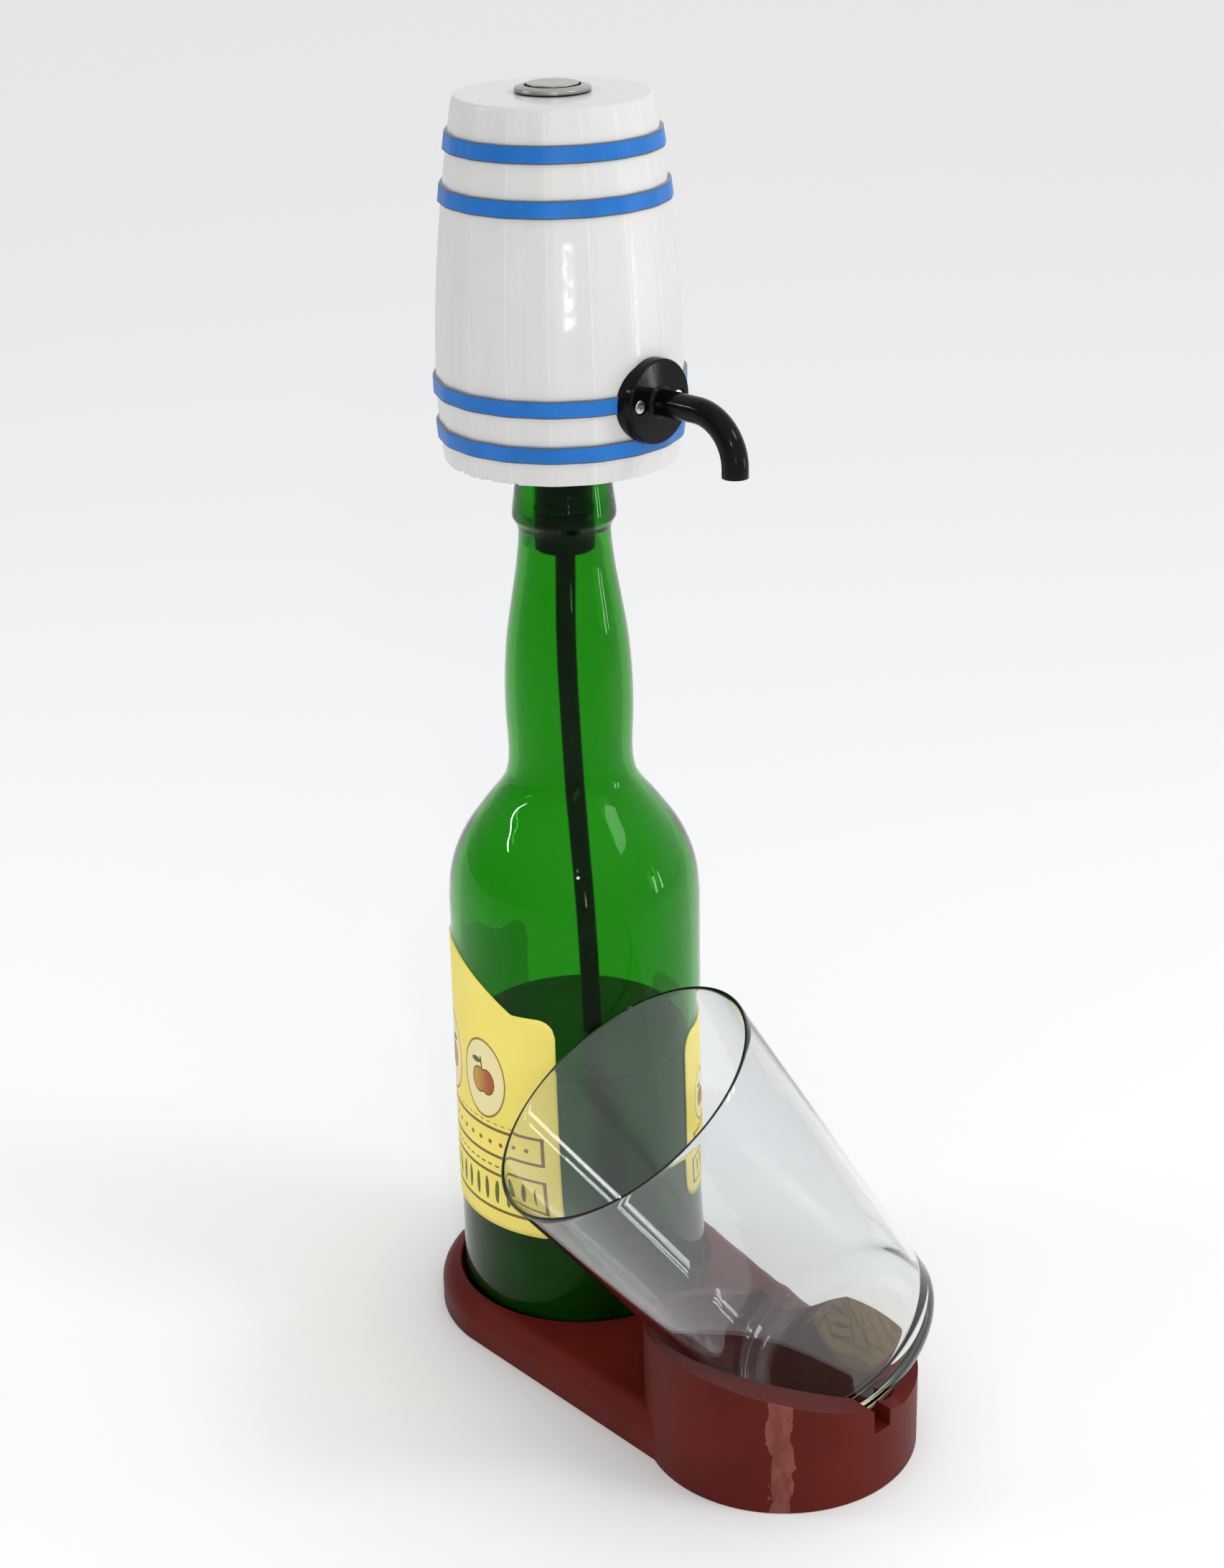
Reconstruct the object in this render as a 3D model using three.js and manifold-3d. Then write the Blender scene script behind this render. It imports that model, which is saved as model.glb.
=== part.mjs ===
// Electric cider pourer: a small barrel-shaped pump head that plugs into a cider bottle,
// with the stand that holds the bottle and a tilted glass.
// Millimetres, +Z up. The origin is on the table under the bottle's axis, +X runs along the
// stand to the glass, and the head's own +X is the way that its spout points.
import * as THREE from 'three';
import { mergeVertices } from 'three/addons/utils/BufferGeometryUtils.js';
import Module from 'manifold-3d';

const wasm = await Module();
wasm.setup();

// Shared clearances
const gap = 0.3;                  // between pieces that touch or seat on each other
const runningFit = 0.04;          // between a turning shaft and its hole
const overrun = 5;                // how far a cutting solid reaches past what it cuts
const FINE = 24;                  // facets round a large turned piece
const MEDIUM = 18;                // facets round a middle-sized one
const SMALL = 12;                 // facets round a small one
const TINY = 8;                   // facets round a screw
const SEAL = 6;                   // facets round a seal ring's section

// Stand
const standBottleEndR = 47.6;     // round end under the bottle
const standH = 13.5;              // height of the plinth
const standEdgeR = 7;             // its rounded top edge
const standFloor = 4;             // material left under the bottle and the glass
const holderX = 102;              // from the bottle's axis to the holder's
const holderR = 42;
const holderSideHalfWidth = 39.4; // the plinth's half width where it meets the holder
const holderHighH = 43;           // wall behind which the tilted glass leans
const holderLowH = 24.5;          // wall under the glass's raised heel
const holderLowY = 15;            // where the sloping top reaches the low wall
const holderEdge = 1;             // small chamfer round the holder's top
const recessClearance = 1.3;      // round the bottle
const pocketClearance = 0.7;      // round the glass
const notchW = 7;                 // drain notch in the holder's wall
const notchZ = 21.2;              // its sill
const notchAngle = 6;             // degrees from +X

// Bottle
const bottleR = 39.7;
const bottleH = 288;
const bottleWall = 3.2;
const bottleHeelR = 6;
const bottleInnerHeelSpan = 70;   // degrees of the curve inside the heel
const puntRise = 7;               // hollow under the base
const puntR = 26;
const neckBoreR = 9.5;
const ringR = 15.9;               // collar below the mouth
const ringH = 6.2;
const ringZShare = 0.918;         // height of the collar's lower edge
const mouthR = 14.2;
const bottleZ = standFloor + gap; // the base stands just clear of the recess floor
// Outside of the bottle above its straight body: share of the height, share of the radius.
const bottleOutlineShares = [
  [0.5, 1], [0.527, 0.981], [0.551, 0.932], [0.575, 0.847], [0.603, 0.703], [0.631, 0.549],
  [0.65, 0.498], [0.674, 0.486], [0.714, 0.498], [0.756, 0.494], [0.798, 0.469],
  [0.84, 0.421], [0.874, 0.38], [0.902, 0.356],
];

// Paper labels, wrapped round the bottle's body
const labelThickness = 0.25;
const labelLowZ = 43;
const labelShoulderZ = 121.5;
const labelArchRise = 15;
const labelCornerR = 6;
const labelArc = 100.5;            // length round the bottle
const labelAngle = -118;          // degrees, the middle of the front label
const labelArchShare = 0.71;      // half width of the arch over that of the label
const labelArchPower = 1.6;
const backLabelArc = 56;
const backLabelTopZ = 106;
const backLabelLowZ = 45;

// Glass
const glassTilt = 35.5;           // degrees from upright
const glassAzimuth = 244.5;       // degrees, the way it leans
const glassBaseX = 105.6;
const glassBaseY = 24.4;
const glassBaseZ = 20.2;
const glassBaseR = 35.3;
const glassRimR = 44.8;
const glassL = 120.8;
const glassWall = 1.4;
const glassRimWall = 1.1;
const glassFloor = 7;
const glassHeelR = 9;
const glassInnerHeelR = 11;

// Barrel shell of the head
const headTurn = 9.5;             // degrees that the spout is turned from the stand's +X
const staves = 18;
const barrelH = 105.5;
const barrelSkirt = 1.6;          // how far its lower edge hangs below the cover
const barrelR = 36.8;             // at the belly, over the edges of the staves
const barrelWall = 2.2;
const barrelTop = 2.5;
const barrelEdge = 1.2;           // rounded top edge
// Outside of the barrel: share of the height, share of the belly radius.
const barrelOutlineShares = [
  [0, 0.957], [0.09, 0.984], [0.21, 1], [0.32, 0.996], [0.45, 0.979], [0.58, 0.948],
  [0.71, 0.909], [0.85, 0.857], [1, 0.79],
];
const hoopProud = 0.95;           // how far a hoop stands out of the staves
const hoopH = 5.1;
const hoopShares = [0.0654, 0.1934, 0.7204, 0.8597]; // lower edges, over the barrel's height

// Bottom cover of the head
const coverT = 3;
const coverZ = bottleZ + bottleH + gap;
const barrelZ = coverZ - barrelSkirt;
const coverScrewAngles = [45, 135, 270]; // degrees from the spout
const bossR = 3.8;                // screw bosses inside the barrel
const bossH = 9;
const screwR = 1;                 // shank of every small screw
const screwHeadR = 1.8;
const screwHeadH = 1.2;
const screwDriveR = 0.75;         // recess in the screw's head
const screwDriveDepth = 0.7;
const coverScrewL = 9;

// Stopper, its seals and the tube that reaches into the bottle
const stopperR = 8.8;
const stopperL = 30.7;            // below the cover
const spigotR = 6;                // through the cover
const spigotL = 7;
const nutCornerR = 8.2;
const nutH = 3.4;
const barbR = 2;                  // hose tails, all alike
const barbL = 6.4;
const barbBoreR = 1.2;
const sealR = 0.85;               // section of a seal ring
const sealOuterR = neckBoreR - gap;
const sealStep = 9;               // between the two rings
const sealTopDrop = 8;            // below the stopper's shoulder
const tubeR = 3.05;
const tubeBoreR = 2.05;
const tubeSocketL = 19;
const tubeFootZ = 20;
const tubeBow = 6;                // how far the foot leans from the axis
const tubeBowAngle = 43.6;        // degrees from the spout
// Route of the dip tube, top to bottom: share of its length, share of its bow.
const tubeRouteShares = [
  [0, 0], [0.08, 0], [0.2, -0.07], [0.35, 0.13], [0.45, 0.35], [0.53, 0.55],
  [0.62, 0.7], [0.75, 0.87], [0.9, 0.98], [1, 1],
];

// Gear pump
const pumpX = 8;                  // the mesh of the gears, from the head's axis
const pumpZShare = 0.3412;        // height of its underside over the barrel's
const teeth = 12;
const gearModule = 1;
const pressureAngle = 25;         // degrees
const backlash = 0.12;            // taken off each flank
const gearAddendum = 0.9;
const gearDedendum = 1.15;
const gearT = 6.9;
const gearSpread = 0.3;           // centre distance beyond the two pitch radii
const pumpFloor = 2.6;
const pumpWall = 3.6;
const pumpCoverT = 3;
const portHalfSpan = 8;           // from the mesh to each port
const portW = 3.6;
const portH = 3;
const pumpScrewRing = 9.4;        // from a gear's centre
const idlerR = 1.5;
const idlerSeat = 1.5;            // how deep the idler pin stands in floor and cover
const sealRingR = 3;              // seals and bushes round the motor's shaft
const sealRingT = 2;
const postR = 2.5;                // posts of the cover that carry the pump
const postSpread = 13.5;

// Motor
const shaftR = 1.15;
const motorR = 12.2;
const motorRoom = 3.6;            // between its shaft and the switch's terminals
const motorWall = 1;
const magnetT = 1.9;
const magnetRoom = 4;             // in the can beside the magnets, above their foot
const magnetArc = 130;            // degrees
const armatureR = 8.4;
const armatureRoom = 2.4;         // between the commutator and the end cap
const poleCount = 3;
const poleSlotW = 2.6;
const poleSlotShare = 0.62;       // depth of a slot over the armature's radius
const commutatorR = 3;
const commutatorL = 3;
const endCapT = 3;
const shaftStub = 1.4;            // shaft beyond the end cap

// Hoses
const hoseR = 3.5;
const hoseBoreR = barbR + gap;
const hoseBendR = 7;

// Spout
const spoutZShare = 0.2114;       // height of its centre line over the barrel's
const spoutFlangeR = 12.4;
const spoutFaceX = 39.9;          // the flange's front
const spoutTubeR = 3.9;
const spoutBoreR = 2.5;
const spoutReach = 68.2;          // to the centre of the tip
const spoutBendR = 14.5;
const spoutDrop = 16.9;           // from the centre line down to the tip
const spoutRootR = 4;             // thick root of the hose tail, through the barrel's wall
const spoutRootL = 8;
const spoutScrewSpread = 8;
const spoutScrewL = 7;

// Battery
const cellR = 9.2;
const cellLShare = 0.6161;        // the barrel's height follows the cell's length
const cradleClearance = 1.1;      // from the cradle to the barrel's wall
const cradleWall = 1.3;
const cradleArc = 210;            // degrees of the cell that the cradle holds
const cellTerminalR = 3;
const cellTerminalH = 0.9;

// Circuit board and charging socket
const boardW = 24;
const boardT = 1.6;
const boardH = 40;
const boardX = -2;
const boardY = 22.7;
const boardSlotW = 16;
const boardSlotT = 5;
const boardSlotH = 4;
const socketW = 9;
const socketT = 3.2;
const socketL = 7.4;
const socketWall = 0.5;
const socketRise = 10.5;          // above the board's foot
const chipW = 7;
const chipT = 1.1;
const coilR = 3.2;
const coilT = 2.6;

// Push button
const bezelR = 11;
const bezelH = 2.6;
const bezelTopR = 8.9;
const bezelBoreR = 8;
const bezelThreadR = 9.2;
const bezelThreadL = 10;
const buttonNutR = 12;
const buttonNutH = 3.2;
const capR = 7.6;
const capT = 4.6;
const capRim = 0.5;
const capStemR = 2;
const capStemL = 5.6;
const capTravel = 2.5;            // full press
const switchR = 8.4;
const switchL = 12.5;
const switchNeckL = 2.5;
const switchStemRoom = 3.5;       // left under the cap's stem when it is pressed
const terminalW = 2;
const terminalT = 0.5;
const terminalL = 2.2;
const terminalSpread = 4;
const terminalCount = 2;
const springR = 3.6;
const springWireR = 0.35;
const springTurns = 4;

// Materials
const finish = (color, roughness, metalness = 0, extra = {}) =>
  () => new THREE.MeshStandardMaterial({ color, roughness, metalness, ...extra });
const brownPlastic = finish(0x5e1e18, 0.45);
const greenGlass = finish(0x1d7a1c, 0.06, 0, { transparent: true, opacity: 0.55 });
const clearGlass = finish(0xe9eef0, 0.03, 0, { transparent: true, opacity: 0.35 });
const yellowPaper = finish(0xe8d66e, 0.7);
const whitePlastic = finish(0xe9e9e6, 0.28);
const bluePlastic = finish(0x1670d4, 0.35);
const blackPlastic = finish(0x0d0d10, 0.25);
const blackRubber = finish(0x141414, 0.75);
const clearSilicone = finish(0xd8dcdc, 0.5);
const greyPlastic = finish(0x6f7376, 0.5);
const steel = finish(0xb8b6b0, 0.3, 1);
const brass = finish(0xc8a45a, 0.35, 1);
const magnetGrey = finish(0x3a3a3d, 0.6, 0.4);
const copper = finish(0xa8572a, 0.4, 0.8);
const cellWrap = finish(0x2f7f8f, 0.4);
const boardGreen = finish(0x14532d, 0.5);

const TURN = Math.PI * 2;
const rad = THREE.MathUtils.degToRad;
const flatShare = Math.cos(Math.PI / staves); // middle of a stave over its edges

// A closed three.js geometry as a solid, with its faces outwards.
function solid(geometry) {
  const bare = geometry.clone();
  for (const name of Object.keys(bare.attributes)) {
    if (name !== 'position') bare.deleteAttribute(name);
  }
  const merged = mergeVertices(bare, 1e-4);
  const vertices = Float32Array.from(merged.attributes.position.array);
  const index = Array.from(merged.index.array);
  const triangles = [];
  let volume = 0;
  const a = new THREE.Vector3();
  const b = new THREE.Vector3();
  const c = new THREE.Vector3();
  for (let i = 0; i < index.length; i += 3) {
    const [p, q, r] = index.slice(i, i + 3);
    if (p === q || q === r || r === p) continue;
    triangles.push(p, q, r);
    a.fromArray(vertices, p * 3);
    b.fromArray(vertices, q * 3);
    c.fromArray(vertices, r * 3);
    volume += a.dot(b.cross(c));
  }
  if (volume < 0) triangles.reverse();
  return new wasm.Manifold(new wasm.Mesh({
    numProp: 3, vertProperties: vertices, triVerts: Uint32Array.from(triangles),
  }));
}

function named(name, shape, material) {
  const { vertProperties, triVerts } = shape.getMesh();
  const geometry = new THREE.BufferGeometry();
  geometry.setAttribute('position', new THREE.BufferAttribute(vertProperties, 3));
  geometry.setIndex(new THREE.BufferAttribute(triVerts, 1));
  geometry.computeVertexNormals();
  const mesh = new THREE.Mesh(geometry, material());
  mesh.name = name;
  return mesh;
}

// Turned about Z from a closed outline of [radius, height] points.
function turned(outline, facets, start = 0) {
  const points = outline.map(([r, z]) => new THREE.Vector2(r, z));
  points.push(points[0].clone());
  const geometry = new THREE.LatheGeometry(points, facets);
  return solid(geometry.rotateX(Math.PI / 2).rotateZ(start));
}

function rod(radius, low, high, x = 0, y = 0, facets = SMALL) {
  const geometry = new THREE.CylinderGeometry(radius, radius, high - low, facets);
  return solid(geometry.rotateX(Math.PI / 2).translate(x, y, (low + high) / 2));
}

function rodAlongX(radius, low, high, y, z, facets = SMALL) {
  const geometry = new THREE.CylinderGeometry(radius, radius, high - low, facets);
  return solid(geometry.rotateZ(Math.PI / 2).translate((low + high) / 2, y, z));
}

function block(x0, x1, y0, y1, z0, z1) {
  const geometry = new THREE.BoxGeometry(x1 - x0, y1 - y0, z1 - z0);
  return solid(geometry.translate((x0 + x1) / 2, (y0 + y1) / 2, (z0 + z1) / 2));
}

function extruded(shape, low, high, options = {}) {
  const geometry = new THREE.ExtrudeGeometry(shape, {
    depth: high - low, bevelEnabled: false, curveSegments: SMALL, ...options,
  });
  return solid(geometry.translate(0, 0, low));
}

// A round section swept along a path.
function swept(radius, path, steps, facets) {
  const section = new THREE.Shape();
  for (let i = 0; i < facets; i += 1) {
    const angle = (i / facets) * TURN;
    const method = i === 0 ? 'moveTo' : 'lineTo';
    section[method](radius * Math.cos(angle), radius * Math.sin(angle));
  }
  section.closePath();
  return solid(new THREE.ExtrudeGeometry(section, { steps, extrudePath: path, bevelEnabled: false }));
}

// The same kind of piece in several places, each with its own number.
function namedEach(name, shapes, material) {
  return shapes.map((shape, i) => named(`${name}_${i + 1}`, shape, material));
}

function joined(shapes) {
  return shapes.reduce((sum, shape) => sum.add(shape));
}

function cut(shape, cutters) {
  return cutters.reduce((rest, cutter) => rest.subtract(cutter), shape);
}

// Points of an arc, for outlines.
function arc(cx, cz, radius, from, to, steps) {
  return Array.from({ length: steps + 1 }, (_, i) => {
    const angle = rad(from + ((to - from) * i) / steps);
    return [cx + radius * Math.cos(angle), cz + radius * Math.sin(angle)];
  });
}

// A smooth outline through [height share, radius share] points.
function smoothOutline(shares, height, radius, low, count) {
  const curve = new THREE.SplineCurve(
    shares.map(([h, r]) => new THREE.Vector2(r * radius, low + h * height)),
  );
  return curve.getPoints(count).map((p) => [p.x, p.y]);
}

// Radius of an outline at a height.
function radiusAt(outline, z) {
  for (let i = 1; i < outline.length; i += 1) {
    const [r0, z0] = outline[i - 1];
    const [r1, z1] = outline[i];
    if (z <= z1) return r0 + ((r1 - r0) * (z - z0)) / (z1 - z0);
  }
  return outline[outline.length - 1][0];
}

// Glass: its outline along its own axis, from the middle of the base
function glassOutline(grow, length) {
  const slope = (glassRimR - glassBaseR) / glassL;
  const side = (h) => glassBaseR + slope * h + grow;
  const heel = glassHeelR;
  return [
    [0, -Math.min(grow, gap)],
    ...arc(side(heel) - heel, heel - Math.min(grow, gap), heel, -90, 0, 4),
    [side(length), length],
  ];
}

function placeGlass(shape) {
  const place = new THREE.Object3D();
  const lean = new THREE.Vector3(Math.cos(rad(glassAzimuth)), Math.sin(rad(glassAzimuth)), 0);
  const axis = new THREE.Vector3(0, 0, 1).multiplyScalar(Math.cos(rad(glassTilt)))
    .addScaledVector(lean, Math.sin(rad(glassTilt)));
  place.quaternion.setFromUnitVectors(new THREE.Vector3(0, 0, 1), axis);
  place.position.set(glassBaseX, glassBaseY, glassBaseZ);
  place.updateMatrix();
  return shape.transform(place.matrix.elements);
}

function makeGlass() {
  const outside = glassOutline(0, glassL);
  const innerFloorR = glassBaseR - glassWall;
  const inside = [
    [glassRimR - glassRimWall, glassL],
    ...arc(innerFloorR - glassInnerHeelR, glassFloor + glassInnerHeelR, glassInnerHeelR, 0, -90, 3),
    [0, glassFloor],
  ];
  return placeGlass(turned([...outside, ...inside], FINE));
}

// Stand: a plinth with the bottle's recess, and a round holder with a tilted pocket
function makePlinth() {
  const outline = new THREE.Shape();
  outline.moveTo(holderX, -holderSideHalfWidth);
  outline.lineTo(holderX, holderSideHalfWidth);
  outline.lineTo(0, standBottleEndR);
  outline.absarc(0, 0, standBottleEndR, Math.PI / 2, Math.PI * 1.5, false);
  outline.closePath();
  const plinth = extruded(outline, -standEdgeR, standH - standEdgeR, {
    bevelEnabled: true, bevelThickness: standEdgeR, bevelSize: standEdgeR,
    bevelOffset: -standEdgeR, bevelSegments: 4, curveSegments: MEDIUM,
  });
  const reach = holderX + standBottleEndR + overrun;
  return plinth.subtract(block(-reach, reach, -reach, reach, -standH - standEdgeR, 0));
}

function makeHolder() {
  const wall = turned([
    [0, 0], [holderR, 0], [holderR, holderHighH - holderEdge],
    [holderR - holderEdge, holderHighH], [0, holderHighH],
  ], FINE + SMALL).translate(holderX, 0, 0);
  const top = new THREE.Shape();
  const side = holderR + overrun;
  const slope = (holderHighH - holderLowH) / (holderR + holderLowY);
  top.moveTo(-side, holderHighH + slope * overrun);
  top.lineTo(holderLowY, holderLowH);
  top.lineTo(side, holderLowH);
  top.lineTo(side, holderHighH + overrun);
  top.lineTo(-side, holderHighH + overrun);
  top.closePath();
  const slab = new THREE.ExtrudeGeometry(top, { depth: side * 2, bevelEnabled: false });
  slab.rotateX(Math.PI / 2).rotateZ(Math.PI / 2).translate(holderX - side, 0, 0);
  return wall.subtract(solid(slab));
}

function makeStand() {
  const recess = turned([
    [0, standFloor], [bottleR + recessClearance, standFloor],
    [bottleR + recessClearance, standH + overrun], [0, standH + overrun],
  ], FINE + SMALL);
  const pocketOutline = glassOutline(pocketClearance, glassL);
  const pocket = placeGlass(turned([...pocketOutline, [0, glassL]], FINE));
  const sill = new THREE.BoxGeometry(holderR, notchW, holderHighH)
    .translate(holderR, 0, notchZ + holderHighH / 2)
    .rotateZ(rad(notchAngle)).translate(holderX, 0, 0);
  return cut(makePlinth().add(makeHolder()), [recess, pocket, solid(sill)]);
}

// Bottle
const bottleNeck = smoothOutline(bottleOutlineShares, bottleH, bottleR, 0, 13);
const bottleBore = smoothOutline(bottleOutlineShares, bottleH, bottleR, 0, 9);

function makeBottle() {
  const ringZ = ringZShare * bottleH;
  const outside = [
    [0, puntRise], [puntR / 2, puntRise * 0.75], [puntR, 0],
    ...arc(bottleR - bottleHeelR, bottleHeelR, bottleHeelR, -90, 0, 3),
    ...bottleNeck,
    [ringR, ringZ], [ringR, ringZ + ringH], [mouthR, ringZ + ringH + bottleWall],
    [mouthR, bottleH - gap], [mouthR - gap, bottleH],
  ];
  const inside = [
    [neckBoreR, bottleH], [neckBoreR, ringZ],
    ...bottleBore.filter(([r]) => r - bottleWall > neckBoreR)
      .map(([r, z]) => [r - bottleWall, z]).reverse(),
    ...arc(bottleR - bottleHeelR, bottleHeelR, bottleHeelR - bottleWall / 2, 0, -bottleInnerHeelSpan, 3)
      .map(([r, z]) => [r - bottleWall / 2, z + bottleWall]),
    [puntR / 2, puntRise * 0.75 + bottleWall], [0, puntRise + bottleWall],
  ];
  return turned([...outside, ...inside], FINE).translate(0, 0, bottleZ);
}

// A paper label wrapped round the bottle, from its lower and upper edges at each place.
function wrappedLabel(arcLength, middle, low, top, columns) {
  const inner = bottleR + gap;
  const outer = inner + labelThickness;
  const half = arcLength / 2;
  const positions = [];
  const index = [];
  for (let i = 0; i <= columns; i += 1) {
    const u = -Math.cos((i / columns) * Math.PI);
    const angle = rad(middle) + (u * half) / inner;
    for (const [r, z] of [[inner, low(u)], [outer, low(u)], [outer, top(u)], [inner, top(u)]]) {
      positions.push(r * Math.cos(angle), r * Math.sin(angle), z);
    }
  }
  for (let i = 0; i < columns; i += 1) {
    for (let k = 0; k < 4; k += 1) {
      const a = i * 4 + k;
      const b = i * 4 + ((k + 1) % 4);
      index.push(a, b, b + 4, a, b + 4, a + 4);
    }
  }
  const last = columns * 4;
  index.push(0, 2, 1, 0, 3, 2, last, last + 1, last + 2, last, last + 2, last + 3);
  const geometry = new THREE.BufferGeometry();
  geometry.setAttribute('position', new THREE.BufferAttribute(new Float32Array(positions), 3));
  geometry.setIndex(index);
  return solid(geometry);
}

// How much a rounded corner takes off an edge at share u of the half width.
function cornerDrop(u, half) {
  const inset = Math.max(0, labelCornerR - half * (1 - Math.abs(u)));
  return labelCornerR - Math.sqrt(Math.max(0, labelCornerR ** 2 - inset ** 2));
}

function makeFrontLabel() {
  const half = labelArc / 2;
  const rise = (u) => labelArchRise * (1 - Math.min(1, Math.abs(u) / labelArchShare) ** labelArchPower);
  return wrappedLabel(
    labelArc, labelAngle,
    (u) => labelLowZ + cornerDrop(u, half),
    (u) => labelShoulderZ + rise(u) - cornerDrop(u, half), 28,
  );
}

function makeBackLabel() {
  const half = backLabelArc / 2;
  return wrappedLabel(
    backLabelArc, labelAngle + 180,
    (u) => backLabelLowZ + cornerDrop(u, half),
    (u) => backLabelTopZ - cornerDrop(u, half), 16,
  );
}

// Barrel
const barrelOutline = smoothOutline(barrelOutlineShares, barrelH, barrelR, barrelZ, 9);
const barrelBore = smoothOutline(barrelOutlineShares, barrelH, barrelR, barrelZ, 6);
const staveStart = Math.PI / staves; // an edge on each side of the spout

function barrelShape(grow) {
  const outline = barrelOutline.map(([r, z]) => [r + grow, z]);
  return turned([[0, barrelZ], ...outline, [0, barrelZ + barrelH]], staves, staveStart);
}

const coverScrews = coverScrewAngles.map((degrees) => {
  const innerR = (radiusAt(barrelOutline, coverZ) - barrelWall) * flatShare;
  const radius = innerR - screwHeadR - 3 * gap;
  return [radius * Math.cos(rad(degrees)), radius * Math.sin(rad(degrees))];
});

function makeBarrelShell() {
  const topZ = barrelZ + barrelH;
  const topR = barrelR * barrelOutlineShares[barrelOutlineShares.length - 1][1];
  const outside = barrelOutline.filter(([, z]) => z < topZ - barrelEdge);
  const edge = arc(topR - barrelEdge, topZ - barrelEdge, barrelEdge, 0, 90, 3);
  const inside = barrelBore.filter(([, z]) => z < topZ - barrelTop)
    .map(([r, z]) => [r - barrelWall, z]).reverse();
  const innerTopR = radiusAt(barrelBore, topZ - barrelTop) - barrelWall;
  const skin = turned([
    ...outside, ...edge, [0, topZ], [0, topZ - barrelTop], [innerTopR, topZ - barrelTop], ...inside,
  ], staves, staveStart);
  const bossZ = coverZ + coverT + gap;
  const bosses = coverScrews.map(([x, y]) => rod(bossR, bossZ, bossZ + bossH, x, y));
  const pilots = coverScrews.map(([x, y]) =>
    rod(screwR + gap, bossZ - overrun, bossZ + bossH - screwR, x, y));
  const socketZ = coverZ + coverT + gap + socketRise;
  const socketSlot = block(
    boardX - socketW / 2 - gap, boardX + socketW / 2 + gap,
    boardY, barrelR + overrun, socketZ - socketT / 2 - gap, socketZ + socketT / 2 + gap,
  );
  const spoutHoles = [
    rodAlongX(spoutRootR + gap, 0, barrelR + overrun, 0, spoutZ),
    ...[-1, 1].map((side) =>
      rodAlongX(screwR + gap, barrelR / 2, barrelR + overrun, side * spoutScrewSpread, spoutZ)),
  ];
  const buttonHole = rod(bezelThreadR + gap, topZ - barrelTop - overrun, topZ + overrun, 0, 0, MEDIUM);
  const shell = skin.add(joined(bosses).intersect(barrelShape(-barrelWall / 2)));
  return cut(shell, [...pilots, socketSlot, ...spoutHoles, buttonHole]);
}

function makeHoop(z) {
  const rise = [z, z + hoopH].map((at) => [radiusAt(barrelOutline, at), at]);
  const [[lowR, lowZ], [highR, highZ]] = rise;
  const ring = turned([
    [lowR + gap, lowZ], [lowR + hoopProud, lowZ], [highR + hoopProud, highZ], [highR + gap, highZ],
  ], staves, staveStart);
  return ring.subtract(rodAlongX(spoutFlangeR + gap, 0, spoutReach, 0, spoutZ, MEDIUM));
}

function screw(length, headUp) {
  const head = turned([
    [0, -length], [screwR, -length], [screwR, 0], [screwHeadR, 0], [screwHeadR, screwHeadH],
    [screwDriveR, screwHeadH], [screwDriveR, screwHeadH - screwDriveDepth],
    [0, screwHeadH - screwDriveDepth],
  ], TINY);
  return headUp ? head : head.scale([1, 1, -1]);
}

function makeBottomCover() {
  const outerR = radiusAt(barrelOutline, coverZ) - barrelWall - gap;
  const disc = turned([
    [0, coverZ], [outerR, coverZ], [outerR, coverZ + coverT], [0, coverZ + coverT],
  ], staves, staveStart);
  const posts = [-1, 1].map((side) =>
    rod(postR, coverZ, pumpZ - gap, pumpX, side * postSpread));
  const footZ = coverZ + coverT;
  const slotBlock = block(
    boardX - boardSlotW / 2, boardX + boardSlotW / 2,
    boardY + boardT / 2 - boardSlotT / 2, boardY + boardT / 2 + boardSlotT / 2,
    coverZ, footZ + boardSlotH,
  );
  const slot = block(
    boardX - boardSlotW, boardX + boardSlotW, boardY - gap, boardY + boardT + gap,
    footZ, footZ + boardSlotH + overrun,
  );
  const screwHoles = coverScrews.flatMap(([x, y]) => [
    rod(screwR + gap, coverZ - overrun, footZ + overrun, x, y),
    rod(screwHeadR + gap, coverZ - overrun, coverZ + screwHeadH + gap, x, y),
  ]);
  const spigotHole = rod(spigotR + gap, coverZ - overrun, footZ + overrun, 0, 0, MEDIUM);
  return cut(joined([disc, ...posts, slotBlock]), [slot, ...screwHoles, spigotHole]);
}

function makeCoverScrews() {
  return coverScrews.map(([x, y]) =>
    screw(coverScrewL, false).translate(x, y, coverZ + screwHeadH + gap / 2));
}

// Stopper
const shoulderZ = coverZ - gap;
const stopperFootZ = shoulderZ - stopperL;
const spigotTopZ = coverZ + spigotL;
const barbTopZ = spigotTopZ + barbL;
const sealZs = [0, 1].map((i) => shoulderZ - sealTopDrop - i * sealStep);

function makeStopper() {
  const grooveR = sealOuterR - 2 * sealR - gap;
  const groove = (z) => [
    [stopperR, z - sealR - gap], [grooveR, z - sealR - gap],
    [grooveR, z + sealR + gap], [stopperR, z + sealR + gap],
  ];
  const socketR = tubeR + gap;
  return turned([
    [socketR, stopperFootZ], [stopperR - gap, stopperFootZ], [stopperR, stopperFootZ + gap],
    ...groove(sealZs[1]), ...groove(sealZs[0]),
    [stopperR, shoulderZ], [spigotR, shoulderZ], [spigotR, spigotTopZ],
    [barbR, spigotTopZ], [barbR, barbTopZ], [barbBoreR, barbTopZ],
    [barbBoreR, stopperFootZ + tubeSocketL], [socketR, stopperFootZ + tubeSocketL],
  ], MEDIUM);
}

function makeSeals() {
  return sealZs.map((z) => turned(arc(sealOuterR - sealR, z, sealR, 0, 360 - 360 / SEAL, SEAL - 1), MEDIUM));
}

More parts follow.
